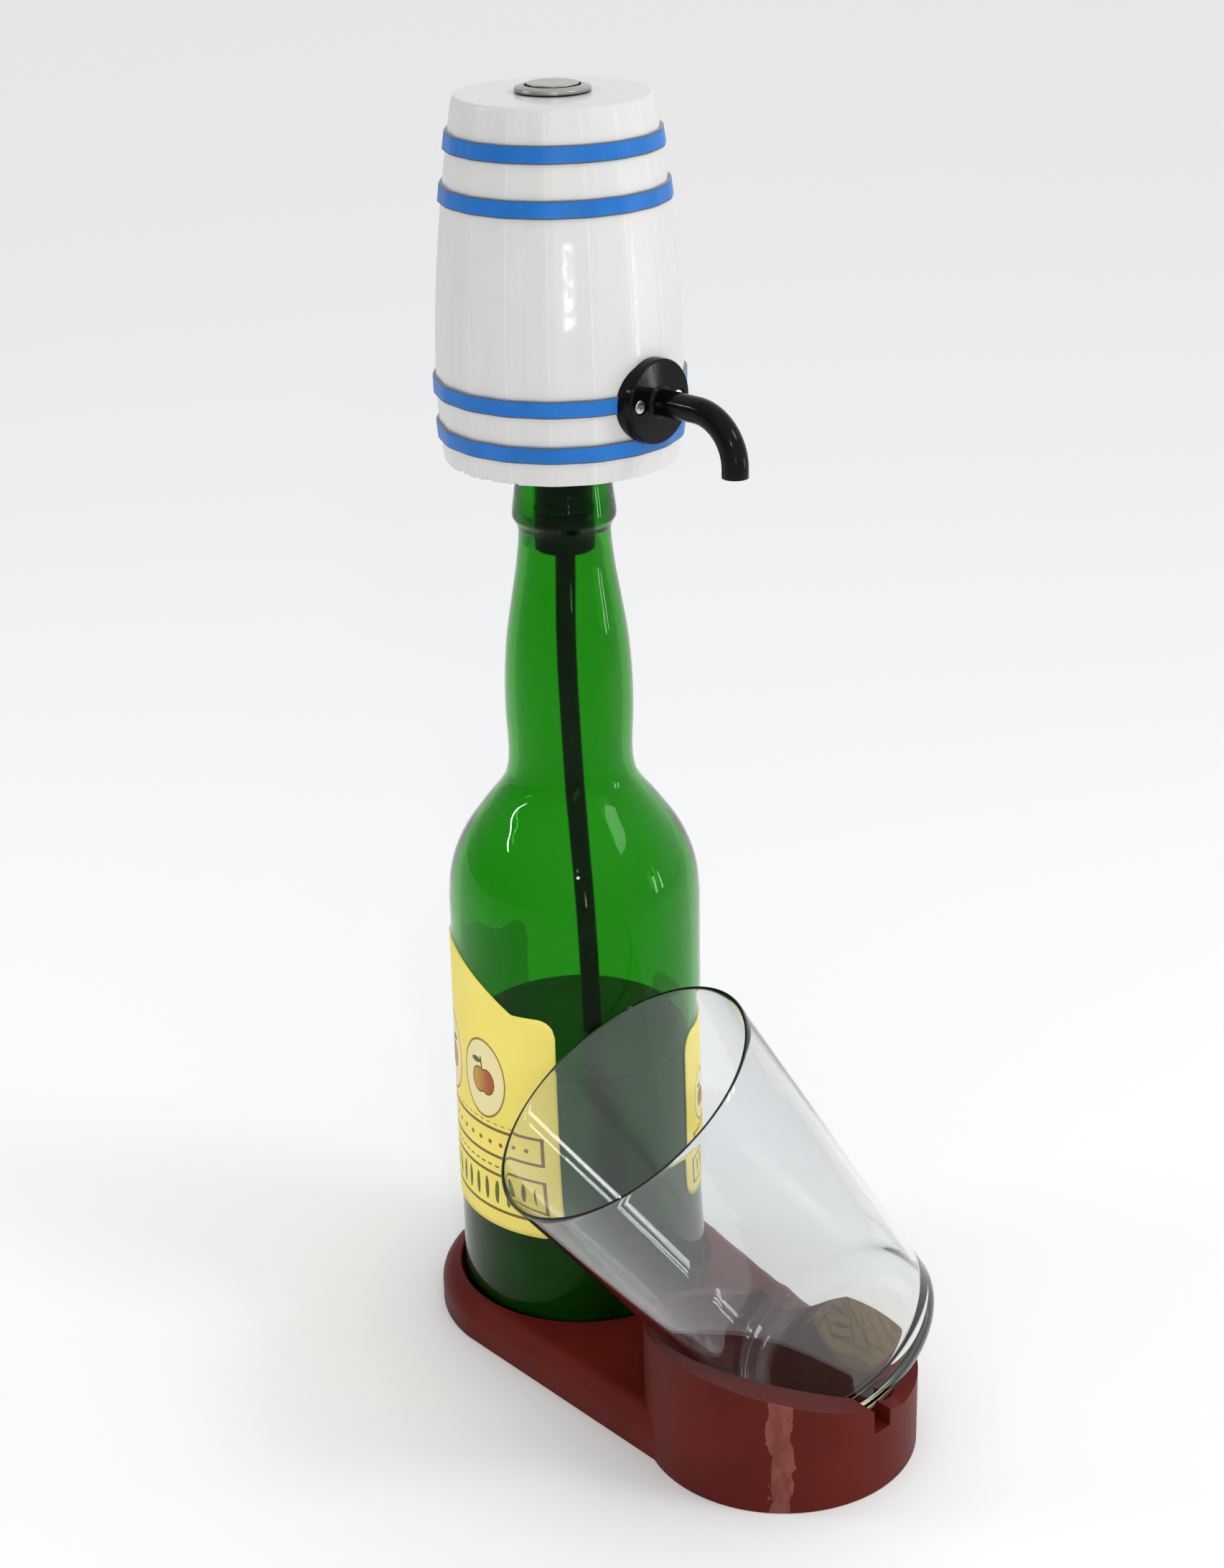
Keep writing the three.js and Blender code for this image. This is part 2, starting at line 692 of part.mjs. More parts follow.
function makeStopperNut() {
  const low = coverZ + coverT + gap;
  const hexagon = turned([
    [0, low], [nutCornerR, low], [nutCornerR, low + nutH], [0, low + nutH],
  ], 6);
  return hexagon.subtract(rod(spigotR + gap, low - overrun, low + nutH + overrun, 0, 0, MEDIUM));
}

function makeDipTube() {
  const topZ = stopperFootZ + tubeSocketL - gap;
  const lean = new THREE.Vector3(Math.cos(rad(tubeBowAngle)), Math.sin(rad(tubeBowAngle)), 0);
  const points = tubeRouteShares.map(([down, out]) =>
    new THREE.Vector3(0, 0, topZ - down * (topZ - tubeFootZ)).addScaledVector(lean, out * tubeBow));
  const path = new THREE.CatmullRomCurve3(points);
  const bore = new THREE.CatmullRomCurve3([
    points[0].clone().setZ(topZ + overrun), ...points,
    points[points.length - 1].clone().setZ(tubeFootZ - overrun),
  ]);
  return swept(tubeR, path, 16, 10).subtract(swept(tubeBoreR, bore, 16, 7));
}

// Heights of the button's pieces, which the motor's length follows
const panelZ = barrelZ + barrelH;
const bezelFootZ = panelZ - bezelThreadL;
const bezelTopZ = panelZ + gap + bezelH;
const capTopZ = bezelTopZ - gap;
const switchTopZ = bezelFootZ + switchNeckL;
const switchLowZ = bezelFootZ - gap - (switchL - switchNeckL);
const terminalTopZ = switchLowZ - gap;

// Gear pump: two gears in a figure-of-eight chamber, one on the motor's shaft
const gearPitchR = (teeth * gearModule) / 2;
const gearTipR = gearPitchR + gearAddendum;
const gearCentreY = gearPitchR + gearSpread / 2;
const pumpZ = barrelZ + pumpZShare * barrelH;
const chamberZ = pumpZ + pumpFloor;
const chamberTopZ = chamberZ + gearT + 2 * gap;
const pumpCoverZ = chamberTopZ + gap;
const motorZ = pumpCoverZ + pumpCoverT + gap;

function gearOutline() {
  const pressure = rad(pressureAngle);
  const baseR = gearPitchR * Math.cos(pressure);
  const rootR = gearPitchR - gearDedendum;
  const involute = (angle) => Math.tan(angle) - angle;
  const halfTooth = Math.PI / (2 * teeth) - backlash / gearPitchR;
  const halfAngle = (r) => halfTooth + involute(pressure) - involute(Math.acos(Math.min(1, baseR / r)));
  const flank = [baseR, gearPitchR, gearTipR];
  const points = [];
  for (let i = 0; i < teeth; i += 1) {
    const middle = (i / teeth) * TURN;
    const left = flank.map((r) => [r, middle - halfAngle(r)]);
    const right = flank.map((r) => [r, middle + halfAngle(r)]).reverse();
    const foot = halfAngle(baseR);
    points.push([rootR, middle - foot], ...left, ...right, [rootR, middle + foot]);
  }
  return new THREE.Shape(points.map(([r, a]) => new THREE.Vector2(r * Math.cos(a), r * Math.sin(a))));
}

function makeGear(side, boreR) {
  const low = chamberZ + gap;
  const blank = extruded(gearOutline(), low, low + gearT);
  const turn = side < 0 ? 0 : 180 / teeth;
  return blank.rotate([0, 0, turn]).translate(pumpX, side * gearCentreY, 0)
    .subtract(rod(boreR, low - overrun, low + gearT + overrun, pumpX, side * gearCentreY));
}

function pumpBlank(low, high) {
  const outerR = gearTipR + pumpWall;
  const outline = new THREE.Shape();
  outline.absarc(pumpX, gearCentreY, outerR, 0, Math.PI, false);
  outline.absarc(pumpX, -gearCentreY, outerR, Math.PI, TURN, false);
  outline.closePath();
  return extruded(outline, low, high, { curveSegments: SMALL });
}

const pumpScrews = [-1, 1].flatMap((ySide) => [-1, 1].map((xSide) => [
  pumpX + (xSide * pumpScrewRing) / Math.SQRT2,
  ySide * (gearCentreY + pumpScrewRing / Math.SQRT2),
]));
const pumpScrewL = pumpCoverT + gearT / 2;

function makePumpBody() {
  const chambers = [-1, 1].map((side) =>
    rod(gearTipR + gap, chamberZ, chamberTopZ + overrun, pumpX, side * gearCentreY, MEDIUM));
  const low = chamberZ + (gearT - portH) / 2;
  const channel = block(
    pumpX - portHalfSpan - portW / 2, pumpX + portHalfSpan + portW / 2,
    -portW / 2, portW / 2, low, low + portH,
  );
  const tails = [-1, 1].map((side) =>
    rod(barbR, pumpZ - barbL, pumpZ + gap, pumpX + side * portHalfSpan, 0));
  const bores = [-1, 1].map((side) =>
    rod(barbBoreR, pumpZ - barbL - overrun, low + gap, pumpX + side * portHalfSpan, 0));
  const idlerHole = rod(idlerR + gap, chamberZ - idlerSeat - gap, chamberTopZ, pumpX, gearCentreY);
  const screwHoles = pumpScrews.map(([x, y]) =>
    rod(screwR + gap, pumpCoverZ + pumpCoverT - pumpScrewL - gap, chamberTopZ + overrun, x, y));
  return cut(
    joined([pumpBlank(pumpZ, chamberTopZ), ...tails]),
    [...chambers, channel, ...bores, idlerHole, ...screwHoles],
  );
}

function makePumpCover() {
  const top = pumpCoverZ + pumpCoverT;
  const sealSeat = top - sealRingT - gap;
  return cut(pumpBlank(pumpCoverZ, top), [
    rod(shaftR + 2 * gap, pumpCoverZ - overrun, top, pumpX, -gearCentreY),
    rod(sealRingR + gap, sealSeat, top + overrun, pumpX, -gearCentreY),
    rod(idlerR + gap, pumpCoverZ - overrun, pumpCoverZ + idlerSeat + gap, pumpX, gearCentreY),
    ...pumpScrews.map(([x, y]) => rod(screwR + gap, pumpCoverZ - overrun, top + overrun, x, y)),
    ...pumpScrews.map(([x, y]) => rod(screwHeadR + gap, top - screwHeadH - gap, top + overrun, x, y)),
  ]);
}

function makePumpScrews() {
  const top = pumpCoverZ + pumpCoverT - screwHeadH;
  return pumpScrews.map(([x, y]) => screw(pumpScrewL - screwHeadH, true).translate(x, y, top));
}

function makeIdlerPin() {
  return rod(idlerR, chamberZ - idlerSeat, pumpCoverZ + idlerSeat, pumpX, gearCentreY);
}

// Radius of a faceted hole whose flats clear a shaft that turns in it.
function runningHole(radius) {
  return (radius + runningFit) / Math.cos(Math.PI / SMALL);
}

function shaftRing(low, outerR) {
  const holeR = runningHole(shaftR);
  return rod(outerR, low, low + sealRingT, pumpX, -gearCentreY)
    .subtract(rod(holeR, low - overrun, low + sealRingT + overrun, pumpX, -gearCentreY));
}

function makeShaftSeal() {
  return shaftRing(pumpCoverZ + pumpCoverT - sealRingT, sealRingR);
}

// Motor
const motorTopZ = terminalTopZ - terminalL - motorRoom - shaftStub;
const endCapZ = motorTopZ - endCapT;
const armatureZ = motorZ + motorWall + sealRingT + 2 * gap;
const armatureTopZ = endCapZ - armatureRoom - commutatorL;
const frontBushZ = motorZ + gap;
const rearBushZ = endCapZ + gap;

function makeMotorCan() {
  const innerR = motorR - motorWall;
  const can = turned([
    [sealRingR + gap, motorZ], [motorR, motorZ], [motorR, motorTopZ], [innerR, motorTopZ],
    [innerR, motorZ + motorWall], [sealRingR + gap, motorZ + motorWall],
  ], MEDIUM);
  return can.translate(pumpX, -gearCentreY, 0);
}

function makeMotorEndCap() {
  const outerR = motorR - motorWall - gap;
  return turned([
    [shaftR + gap, rearBushZ + sealRingT + gap], [sealRingR + gap, rearBushZ + sealRingT + gap],
    [sealRingR + gap, endCapZ], [outerR, endCapZ], [outerR, motorTopZ], [shaftR + gap, motorTopZ],
  ], MEDIUM).translate(pumpX, -gearCentreY, 0);
}

function makeMotorBushes() {
  return [frontBushZ, rearBushZ].map((low) => shaftRing(low, sealRingR));
}

function makeMagnets() {
  const outerR = motorR - motorWall - gap;
  const low = motorZ + motorWall + gap;
  const high = endCapZ - magnetRoom - gap;
  const shape = (side) => {
    const half = rad(magnetArc) / 2;
    const middle = side > 0 ? 0 : Math.PI;
    const outline = new THREE.Shape();
    outline.absarc(0, 0, outerR, middle - half, middle + half, false);
    outline.absarc(0, 0, outerR - magnetT, middle + half, middle - half, true);
    outline.closePath();
    return extruded(outline, low, high, { curveSegments: 8 });
  };
  return [-1, 1].map((side) => shape(side).translate(pumpX, -gearCentreY, 0));
}

function makeMotorShaft() {
  return rod(shaftR, chamberZ + gap, motorTopZ + shaftStub, pumpX, -gearCentreY);
}

function makeArmature() {
  const topZ = armatureTopZ;
  const core = rod(armatureR, armatureZ, topZ, 0, 0, MEDIUM);
  const slots = Array.from({ length: poleCount }, (_, i) =>
    block(
      armatureR * (1 - poleSlotShare), armatureR + overrun, -poleSlotW / 2, poleSlotW / 2,
      armatureZ - overrun, topZ + overrun,
    ).rotate([0, 0, (i * 360) / poleCount]));
  const commutator = rod(commutatorR, topZ - gap, topZ + commutatorL, 0, 0);
  const bore = rod(shaftR + gap, armatureZ - overrun, topZ + commutatorL + overrun);
  return cut(core, slots).add(commutator).subtract(bore).translate(pumpX, -gearCentreY, 0);
}

// Hoses
function makeInletHose() {
  const low = spigotTopZ + gap;
  const high = pumpZ - gap;
  return rod(hoseR, low, high).subtract(rod(hoseBoreR, low - overrun, high + overrun));
}

class BentPath extends THREE.CurvePath {
  constructor(start, turnStart, turnEnd, end, centre) {
    super();
    this.add(new THREE.LineCurve3(start, turnStart));
    this.add(new QuarterTurn(turnStart, turnEnd, centre));
    this.add(new THREE.LineCurve3(turnEnd, end));
  }
}

class QuarterTurn extends THREE.Curve {
  constructor(from, to, centre) {
    super();
    this.from = from.clone().sub(centre);
    this.to = to.clone().sub(centre);
    this.centre = centre;
  }

  getPoint(t, target = new THREE.Vector3()) {
    const angle = (t * Math.PI) / 2;
    return target.copy(this.centre)
      .addScaledVector(this.from, Math.cos(angle)).addScaledVector(this.to, Math.sin(angle));
  }
}

const spoutZ = barrelZ + spoutZShare * barrelH;
const spoutTipZ = spoutZ - spoutDrop;
const outletX = pumpX + portHalfSpan;
const spoutTailX = outletX + hoseBendR + gap;

function makeOutletHose() {
  const at = (x, z) => new THREE.Vector3(x, 0, z);
  const route = (reach) => new BentPath(
    at(outletX, pumpZ - gap + reach), at(outletX, spoutZ + hoseBendR),
    at(outletX + hoseBendR, spoutZ), at(spoutFaceX - spoutRootL - spoutRootR + reach, spoutZ),
    at(outletX + hoseBendR, spoutZ + hoseBendR),
  );
  return swept(hoseR, route(0), 11, 10).subtract(swept(hoseBoreR, route(gap), 11, 8));
}

// Spout
function spoutRoute(tailX, tipZ) {
  const at = (x, z) => new THREE.Vector3(x, 0, z);
  return new BentPath(
    at(tailX, spoutZ), at(spoutReach - spoutBendR, spoutZ),
    at(spoutReach, spoutZ - spoutBendR), at(spoutReach, tipZ),
    at(spoutReach - spoutBendR, spoutZ - spoutBendR),
  );
}

const spoutTailEndX = spoutFaceX - spoutRootL - spoutRootR + gap;

function makeSpout() {
  const flange = rodAlongX(spoutFlangeR, barrelR / 2, spoutFaceX, 0, spoutZ, MEDIUM)
    .subtract(barrelShape(gap));
  const root = rodAlongX(spoutRootR, spoutTailEndX, spoutFaceX - gap, 0, spoutZ);
  const tail = rodAlongX(barbR, spoutTailX, spoutTailEndX + gap, 0, spoutZ);
  const tube = swept(spoutTubeR, spoutRoute(spoutFaceX - spoutRootR, spoutTipZ), 15, 12);
  const bore = swept(spoutBoreR, spoutRoute(spoutFaceX, spoutTipZ - overrun), 15, 8);
  const tailBore = rodAlongX(barbBoreR, spoutTailX - overrun, spoutFaceX + gap, 0, spoutZ);
  const screwHoles = [-1, 1].flatMap((side) => [
    rodAlongX(screwR + gap, 0, spoutFaceX + overrun, side * spoutScrewSpread, spoutZ),
    rodAlongX(
      screwHeadR + gap, spoutFaceX - screwHeadH, spoutFaceX + overrun,
      side * spoutScrewSpread, spoutZ,
    ),
  ]);
  return cut(joined([flange, root, tail, tube]), [bore, tailBore, ...screwHoles]);
}

function makeSpoutScrews() {
  return [-1, 1].map((side) =>
    screw(spoutScrewL, true).rotate([0, 90, 0])
      .translate(spoutFaceX - screwHeadH + gap, side * spoutScrewSpread, spoutZ));
}

// Battery in its cradle
const cradleZ = coverZ + coverT + gap;
const cellZ = cradleZ + cradleWall + gap;
const cellL = cellLShare * barrelH;
const cradleTopZ = cellZ + cellL + cellTerminalH + gap + cradleWall;
const cradleReach = (radiusAt(barrelOutline, cradleTopZ) - barrelWall) * flatShare - cradleClearance;
const cellX = cellR + gap + cradleWall - cradleReach;

function makeCradle() {
  const innerR = cellR + gap;
  const outerR = innerR + cradleWall;
  const topZ = cradleTopZ;
  const half = rad(cradleArc) / 2;
  const outline = new THREE.Shape();
  outline.absarc(0, 0, outerR, Math.PI - half, Math.PI + half, false);
  outline.absarc(0, 0, innerR, Math.PI + half, Math.PI - half, true);
  outline.closePath();
  const wall = extruded(outline, cradleZ, topZ);
  const ends = [[cradleZ, cradleZ + cradleWall], [topZ - cradleWall, topZ]]
    .map(([low, high]) => rod(innerR + gap, low, high, 0, 0, MEDIUM));
  return joined([wall, ...ends]).translate(cellX, 0, 0);
}

function makeCell() {
  const top = cellZ + cellL;
  return turned([
    [0, cellZ], [cellR, cellZ], [cellR, top], [cellTerminalR, top],
    [cellTerminalR, top + cellTerminalH], [0, top + cellTerminalH],
  ], MEDIUM).translate(cellX, 0, 0);
}

// Circuit board with its charging socket
const boardZ = coverZ + coverT + gap;

function makeBoard() {
  const board = block(
    boardX - boardW / 2, boardX + boardW / 2, boardY, boardY + boardT, boardZ, boardZ + boardH,
  );
  const chipZ = boardZ + boardH / 2;
  const chip = block(
    boardX - chipW, boardX, boardY - chipT, boardY + gap, chipZ, chipZ + chipW,
  );
  const coil = new THREE.CylinderGeometry(coilR, coilR, coilT + gap, SMALL)
    .translate(boardX + coilR * 2, boardY - coilT / 2 + gap / 2, chipZ + coilR);
  return joined([board, chip, solid(coil)]);
}

function makeSocket() {
  const z = boardZ + socketRise;
  const y0 = boardY + boardT + gap;
  const outer = block(
    boardX - socketW / 2, boardX + socketW / 2, y0, y0 + socketL, z - socketT / 2, z + socketT / 2,
  );
  const inner = block(
    boardX - socketW / 2 + socketWall, boardX + socketW / 2 - socketWall,
    y0 + socketWall, y0 + socketL + overrun, z - socketT / 2 + socketWall, z + socketT / 2 - socketWall,
  );
  const tongue = block(
    boardX - socketW / 4, boardX + socketW / 4, y0, y0 + socketL - socketWall,
    z - socketWall / 2, z + socketWall / 2,
  );
  return outer.subtract(inner).add(tongue);
}

// Push button
function makeBezel() {
  const flangeZ = panelZ + gap;
  return turned([
    [bezelBoreR, bezelFootZ], [bezelThreadR, bezelFootZ], [bezelThreadR, flangeZ],
    [bezelR, flangeZ], [bezelR, flangeZ + gap * 2], [bezelTopR, bezelTopZ], [bezelBoreR, bezelTopZ],
  ], MEDIUM);
}

function makeButtonNut() {
  const high = panelZ - barrelTop - gap;
  const hexagon = turned([
    [0, high - buttonNutH], [buttonNutR, high - buttonNutH], [buttonNutR, high], [0, high],
  ], 6);
  return hexagon.subtract(rod(bezelThreadR + gap, high - buttonNutH - overrun, high + overrun, 0, 0, MEDIUM));
}

function makeCap() {
  const low = capTopZ - capT;
  return turned([
    [0, low - capStemL], [capStemR, low - capStemL], [capStemR, low], [capR, low],
    [capR, capTopZ - capRim], [capR - capRim, capTopZ], [0, capTopZ],
  ], MEDIUM);
}

function makeSpring() {
  const low = switchTopZ + springWireR + gap;
  const high = capTopZ - capT - springWireR - gap;
  const steps = springTurns * 8;
  const points = Array.from({ length: steps + 1 }, (_, i) => {
    const angle = (i / steps) * springTurns * TURN;
    return new THREE.Vector3(
      springR * Math.cos(angle), springR * Math.sin(angle), low + ((high - low) * i) / steps,
    );
  });
  return swept(springWireR, new THREE.CatmullRomCurve3(points), steps, 5);
}

function makeSwitchBody() {
  const neckR = bezelBoreR - gap;
  const stemHoleZ = switchTopZ - capTravel - switchStemRoom;
  return turned([
    [0, switchLowZ], [switchR, switchLowZ], [switchR, bezelFootZ - gap], [neckR, bezelFootZ - gap],
    [neckR, switchTopZ], [capStemR + gap, switchTopZ],
    [capStemR + gap, stemHoleZ], [0, stemHoleZ],
  ], MEDIUM);
}

function makeTerminals() {
  return Array.from({ length: terminalCount }, (_, i) =>
    block(
      terminalSpread - terminalT / 2, terminalSpread + terminalT / 2,
      -terminalW / 2, terminalW / 2, terminalTopZ - terminalL, terminalTopZ,
    ).rotate([0, 0, (i * 360) / terminalCount]));
}

// The assembly
const pourer = new THREE.Group();
const head = new THREE.Group();
head.rotation.z = rad(headTurn);
pourer.add(
  named('stand', makeStand(), brownPlastic),
  named('bottle', makeBottle(), greenGlass),
  named('front_label', makeFrontLabel(), yellowPaper),
  named('back_label', makeBackLabel(), yellowPaper),
  named('cider_glass', makeGlass(), clearGlass),
  head,
);
head.add(
  named('barrel_shell', makeBarrelShell(), whitePlastic),
  ...namedEach('hoop', hoopShares.map((share) => makeHoop(barrelZ + share * barrelH)), bluePlastic),
  named('bottom_cover', makeBottomCover(), whitePlastic),
  ...namedEach('cover_screw', makeCoverScrews(), steel),
  named('stopper', makeStopper(), blackPlastic),
  ...namedEach('stopper_seal', makeSeals(), blackRubber),
  named('stopper_nut', makeStopperNut(), blackPlastic),
  named('dip_tube', makeDipTube(), blackPlastic),
  named('inlet_hose', makeInletHose(), clearSilicone),
  named('pump_body', makePumpBody(), greyPlastic),
  named('pump_cover', makePumpCover(), greyPlastic),
  ...namedEach('pump_screw', makePumpScrews(), steel),
  named('shaft_seal', makeShaftSeal(), blackRubber),
  named('drive_gear', makeGear(-1, shaftR + gap), greyPlastic),
  named('driven_gear', makeGear(1, runningHole(idlerR)), greyPlastic),
  named('idler_pin', makeIdlerPin(), steel),
  named('motor_can', makeMotorCan(), steel),
  ...namedEach('motor_magnet', makeMagnets(), magnetGrey),
  named('motor_end_cap', makeMotorEndCap(), blackPlastic),
  ...namedEach('motor_bush', makeMotorBushes(), brass),
  named('motor_shaft', makeMotorShaft(), steel),
  named('armature', makeArmature(), copper),
  named('outlet_hose', makeOutletHose(), clearSilicone),
  named('spout', makeSpout(), blackPlastic),
  ...namedEach('spout_screw', makeSpoutScrews(), steel),
  named('battery_cradle', makeCradle(), blackPlastic),
  named('battery_cell', makeCell(), cellWrap),
  named('circuit_board', makeBoard(), boardGreen),
  named('charging_socket', makeSocket(), steel),
  named('button_bezel', makeBezel(), steel),
  named('button_nut', makeButtonNut(), steel),
  named('button_cap', makeCap(), steel),
  named('button_spring', makeSpring(), steel),
  named('switch_body', makeSwitchBody(), blackPlastic),
  ...namedEach('switch_terminal', makeTerminals(), brass),
);

export default pourer;
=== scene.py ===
import math

import bmesh
import bpy
from mathutils import Matrix, Vector


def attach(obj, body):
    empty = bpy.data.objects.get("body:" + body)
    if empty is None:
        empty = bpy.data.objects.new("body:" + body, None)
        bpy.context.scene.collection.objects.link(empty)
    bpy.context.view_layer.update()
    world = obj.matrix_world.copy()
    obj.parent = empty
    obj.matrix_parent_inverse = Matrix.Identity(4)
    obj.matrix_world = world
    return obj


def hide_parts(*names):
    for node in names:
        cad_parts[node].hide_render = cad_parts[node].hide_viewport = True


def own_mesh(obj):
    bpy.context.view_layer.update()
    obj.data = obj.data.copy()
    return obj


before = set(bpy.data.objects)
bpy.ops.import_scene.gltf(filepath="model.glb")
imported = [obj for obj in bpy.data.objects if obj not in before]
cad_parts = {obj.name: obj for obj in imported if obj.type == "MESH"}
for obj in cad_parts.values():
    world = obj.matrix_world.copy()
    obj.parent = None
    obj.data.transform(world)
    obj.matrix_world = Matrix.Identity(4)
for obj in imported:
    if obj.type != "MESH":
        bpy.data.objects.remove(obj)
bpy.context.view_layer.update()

MM = 0.001
TURN = math.tau
GAP = 0.3        # between pieces that touch or seat on each other
OVERRUN = 8      # how far a cutting solid reaches past what it cuts
MERGE = 1e-4     # points closer than this are one
LEVEL = 1e-3     # heights closer than this are the same

# Sizes shared with the part
STAND_END_R, STAND_H, STAND_EDGE_R, STAND_FLOOR = 47.6, 13.5, 7, 4
HOLDER_X, HOLDER_R, HOLDER_HALF_WIDTH = 102, 42, 39.4
HOLDER_TOP = [(-47, 44.62), (15, 24.5), (47, 24.5)]
RECESS_R, RECESS_CHAMFER, POCKET_CLEARANCE = 41, 0.6, 0.7
NOTCH_W, NOTCH_H, NOTCH_Z, NOTCH_ANGLE = 7, 60, 21.2, 6
SEAM_ANGLE = -40
BOTTLE_R, BOTTLE_H, BOTTLE_WALL, BOTTLE_Z = 39.7, 288, 3.2, 4.3
BOTTLE_HEEL_R, BOTTLE_INNER_HEEL_R, BOTTLE_INNER_HEEL_Z = 6, 7, 10.5
NECK_BORE_R, MOUTH_R, MOUTH_EDGE_R = 9.5, 14.2, 0.8
BOTTLE_SIDE = [
    (0.5, 1), (0.527, 0.981), (0.551, 0.932), (0.575, 0.847), (0.603, 0.703), (0.631, 0.549),
    (0.65, 0.498), (0.674, 0.486), (0.714, 0.498), (0.756, 0.494), (0.798, 0.469),
    (0.84, 0.421), (0.874, 0.38), (0.902, 0.356),
]
CIDER_LEVEL = 98.65
LABEL_ARC, LABEL_MIDDLE, LABEL_LOW, LABEL_SHOULDER, LABEL_RISE = 100.5, -118, 43, 121.5, 15
BACK_ARC, BACK_LOW, BACK_TOP = 56, 45, 106
LABEL_CORNER_R = 6
GLASS_BASE = Vector((105.6, 24.4, 20.2))
GLASS_TILT, GLASS_AZIMUTH = 35.5, 244.5
GLASS_BASE_R, GLASS_RIM_R, GLASS_L, GLASS_HEEL_R = 35.3, 44.8, 120.8, 9
GLASS_BASE_WALL, GLASS_RIM_WALL, GLASS_RIM_EDGE_R = 1.6, 1.3, 0.55
GLASS_FLOOR, GLASS_INNER_HEEL_R = 4.5, 11
GLASS_SHRINK = 0.22  # keeps its finer facets inside the part's own glass
HEAD_TURN = 9.5
STAVES = 18
BARREL_Z, BARREL_H, BARREL_R, BARREL_WALL, BARREL_TOP = 291, 105.5, 36.8, 2.2, 2.5
BARREL_EDGE_R = 1.3
BARREL_SIDE = [
    (0, 0.957), (0.09, 0.984), (0.21, 1), (0.32, 0.996), (0.45, 0.979), (0.58, 0.948),
    (0.71, 0.909), (0.85, 0.857), (1, 0.79),
]
HOOP_LOWS = [297.9, 311.4, 367, 381.7]
HOOP_H, HOOP_PROUD = 5.1, 0.95
STAVE_EDGE = 2.6
SPOUT_Z, SPOUT_FACE_X, SPOUT_FLANGE_R, SPOUT_REACH = 313.3, 39.9, 12.4, 68.2
SPOUT_TUBE_R, SPOUT_BORE_R, SPOUT_BEND_R, SPOUT_TIP_Z = 3.9, 2.5, 14.5, 296.4
SPOUT_SCREWS_Y, SPOUT_SCREW_POCKET_R = (-8, 8), 2.3
SPOUT_HOLE_R, SCREW_HOLE_R, BUTTON_HOLE_R = 4.3, 1.3, 9.5
SOCKET_SLOT, SOCKET_PLACE = (9.6, 30, 3.8), (-2, 36, 306.4)
BUTTON_THREAD_R, BUTTON_BORE_R, BUTTON_RING_R, BUTTON_CAP_R = 9.2, 8.05, 11, 7.55
STOPPER_R, STOPPER_GROOVE_R, SPIGOT_R, TAIL_R, TAIL_BORE_R = 8.8, 7.2, 6, 2, 1.2
SEALS_Z, SEAL_RING_R, SEAL_R = (284.3, 275.3), 8.35, 0.85
TUBE_R, TUBE_BORE_R, TUBE_BOW, TUBE_BOW_ANGLE = 3.05, 2.05, 6, 43.6
PANEL_Z = BARREL_Z + BARREL_H
stave_start = math.pi / STAVES
head_turn = Matrix.Rotation(math.radians(HEAD_TURN), 4, "Z")


def smooth_line(points, steps):
    """A smooth line through points, by Catmull and Rom's rule."""
    found = []
    for i in range(len(points) - 1):
        a, b = points[max(i - 1, 0)], points[i]
        c, d = points[i + 1], points[min(i + 2, len(points) - 1)]
        for k in range(steps):
            t = k / steps
            found.append(tuple(
                0.5 * (2 * q + (r - p) * t + (2 * p - 5 * q + 4 * r - s) * t * t
                       + (3 * q - p - 3 * r + s) * t ** 3)
                for p, q, r, s in zip(a, b, c, d)
            ))
    return found + [tuple(points[-1])]


def arc(x, z, radius, start, end, steps):
    """Points of an arc from one angle to another, in degrees."""
    angles = [math.radians(start + (end - start) * i / steps) for i in range(steps + 1)]
    return [(x + radius * math.cos(a), z + radius * math.sin(a)) for a in angles]


def radius_at(outline, z):
    """Radius of an outline of (radius, height) points at a height."""
    for (r0, z0), (r1, z1) in zip(outline, outline[1:]):
        if z <= z1:
            return r0 + (r1 - r0) * (z - z0) / (z1 - z0)
    return outline[-1][0]


# Meshes
def piece(bm, name, finish, body, smooth=35, stands_for=()):
    """Makes a bmesh in millimetres a piece of the object, smooth but for its sharp edges."""
    bmesh.ops.transform(bm, matrix=Matrix.Scale(MM, 4), verts=bm.verts)
    for face in bm.faces:
        face.smooth = True
    for edge in bm.edges:
        if len(edge.link_faces) == 2:
            edge.smooth = edge.calc_face_angle() < math.radians(smooth)
    mesh = bpy.data.meshes.new(name)
    bm.to_mesh(mesh)
    bm.free()
    made = bpy.data.objects.new(name, mesh)
    bpy.context.scene.collection.objects.link(made)
    mesh.materials.append(finish)
    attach(made, body)
    if stands_for:
        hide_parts(*stands_for)
    return made


def even_normals(made):
    """Lets a piece's large faces set the shading beside them, up to its sharp edges."""
    normals = made.modifiers.new("normals", "WEIGHTED_NORMAL")
    normals.keep_sharp = True


def cleaned(bm):
    """Joins points that coincide and turns the faces outward."""
    bmesh.ops.remove_doubles(bm, verts=bm.verts, dist=MERGE)
    bmesh.ops.recalc_face_normals(bm, faces=bm.faces)
    return bm


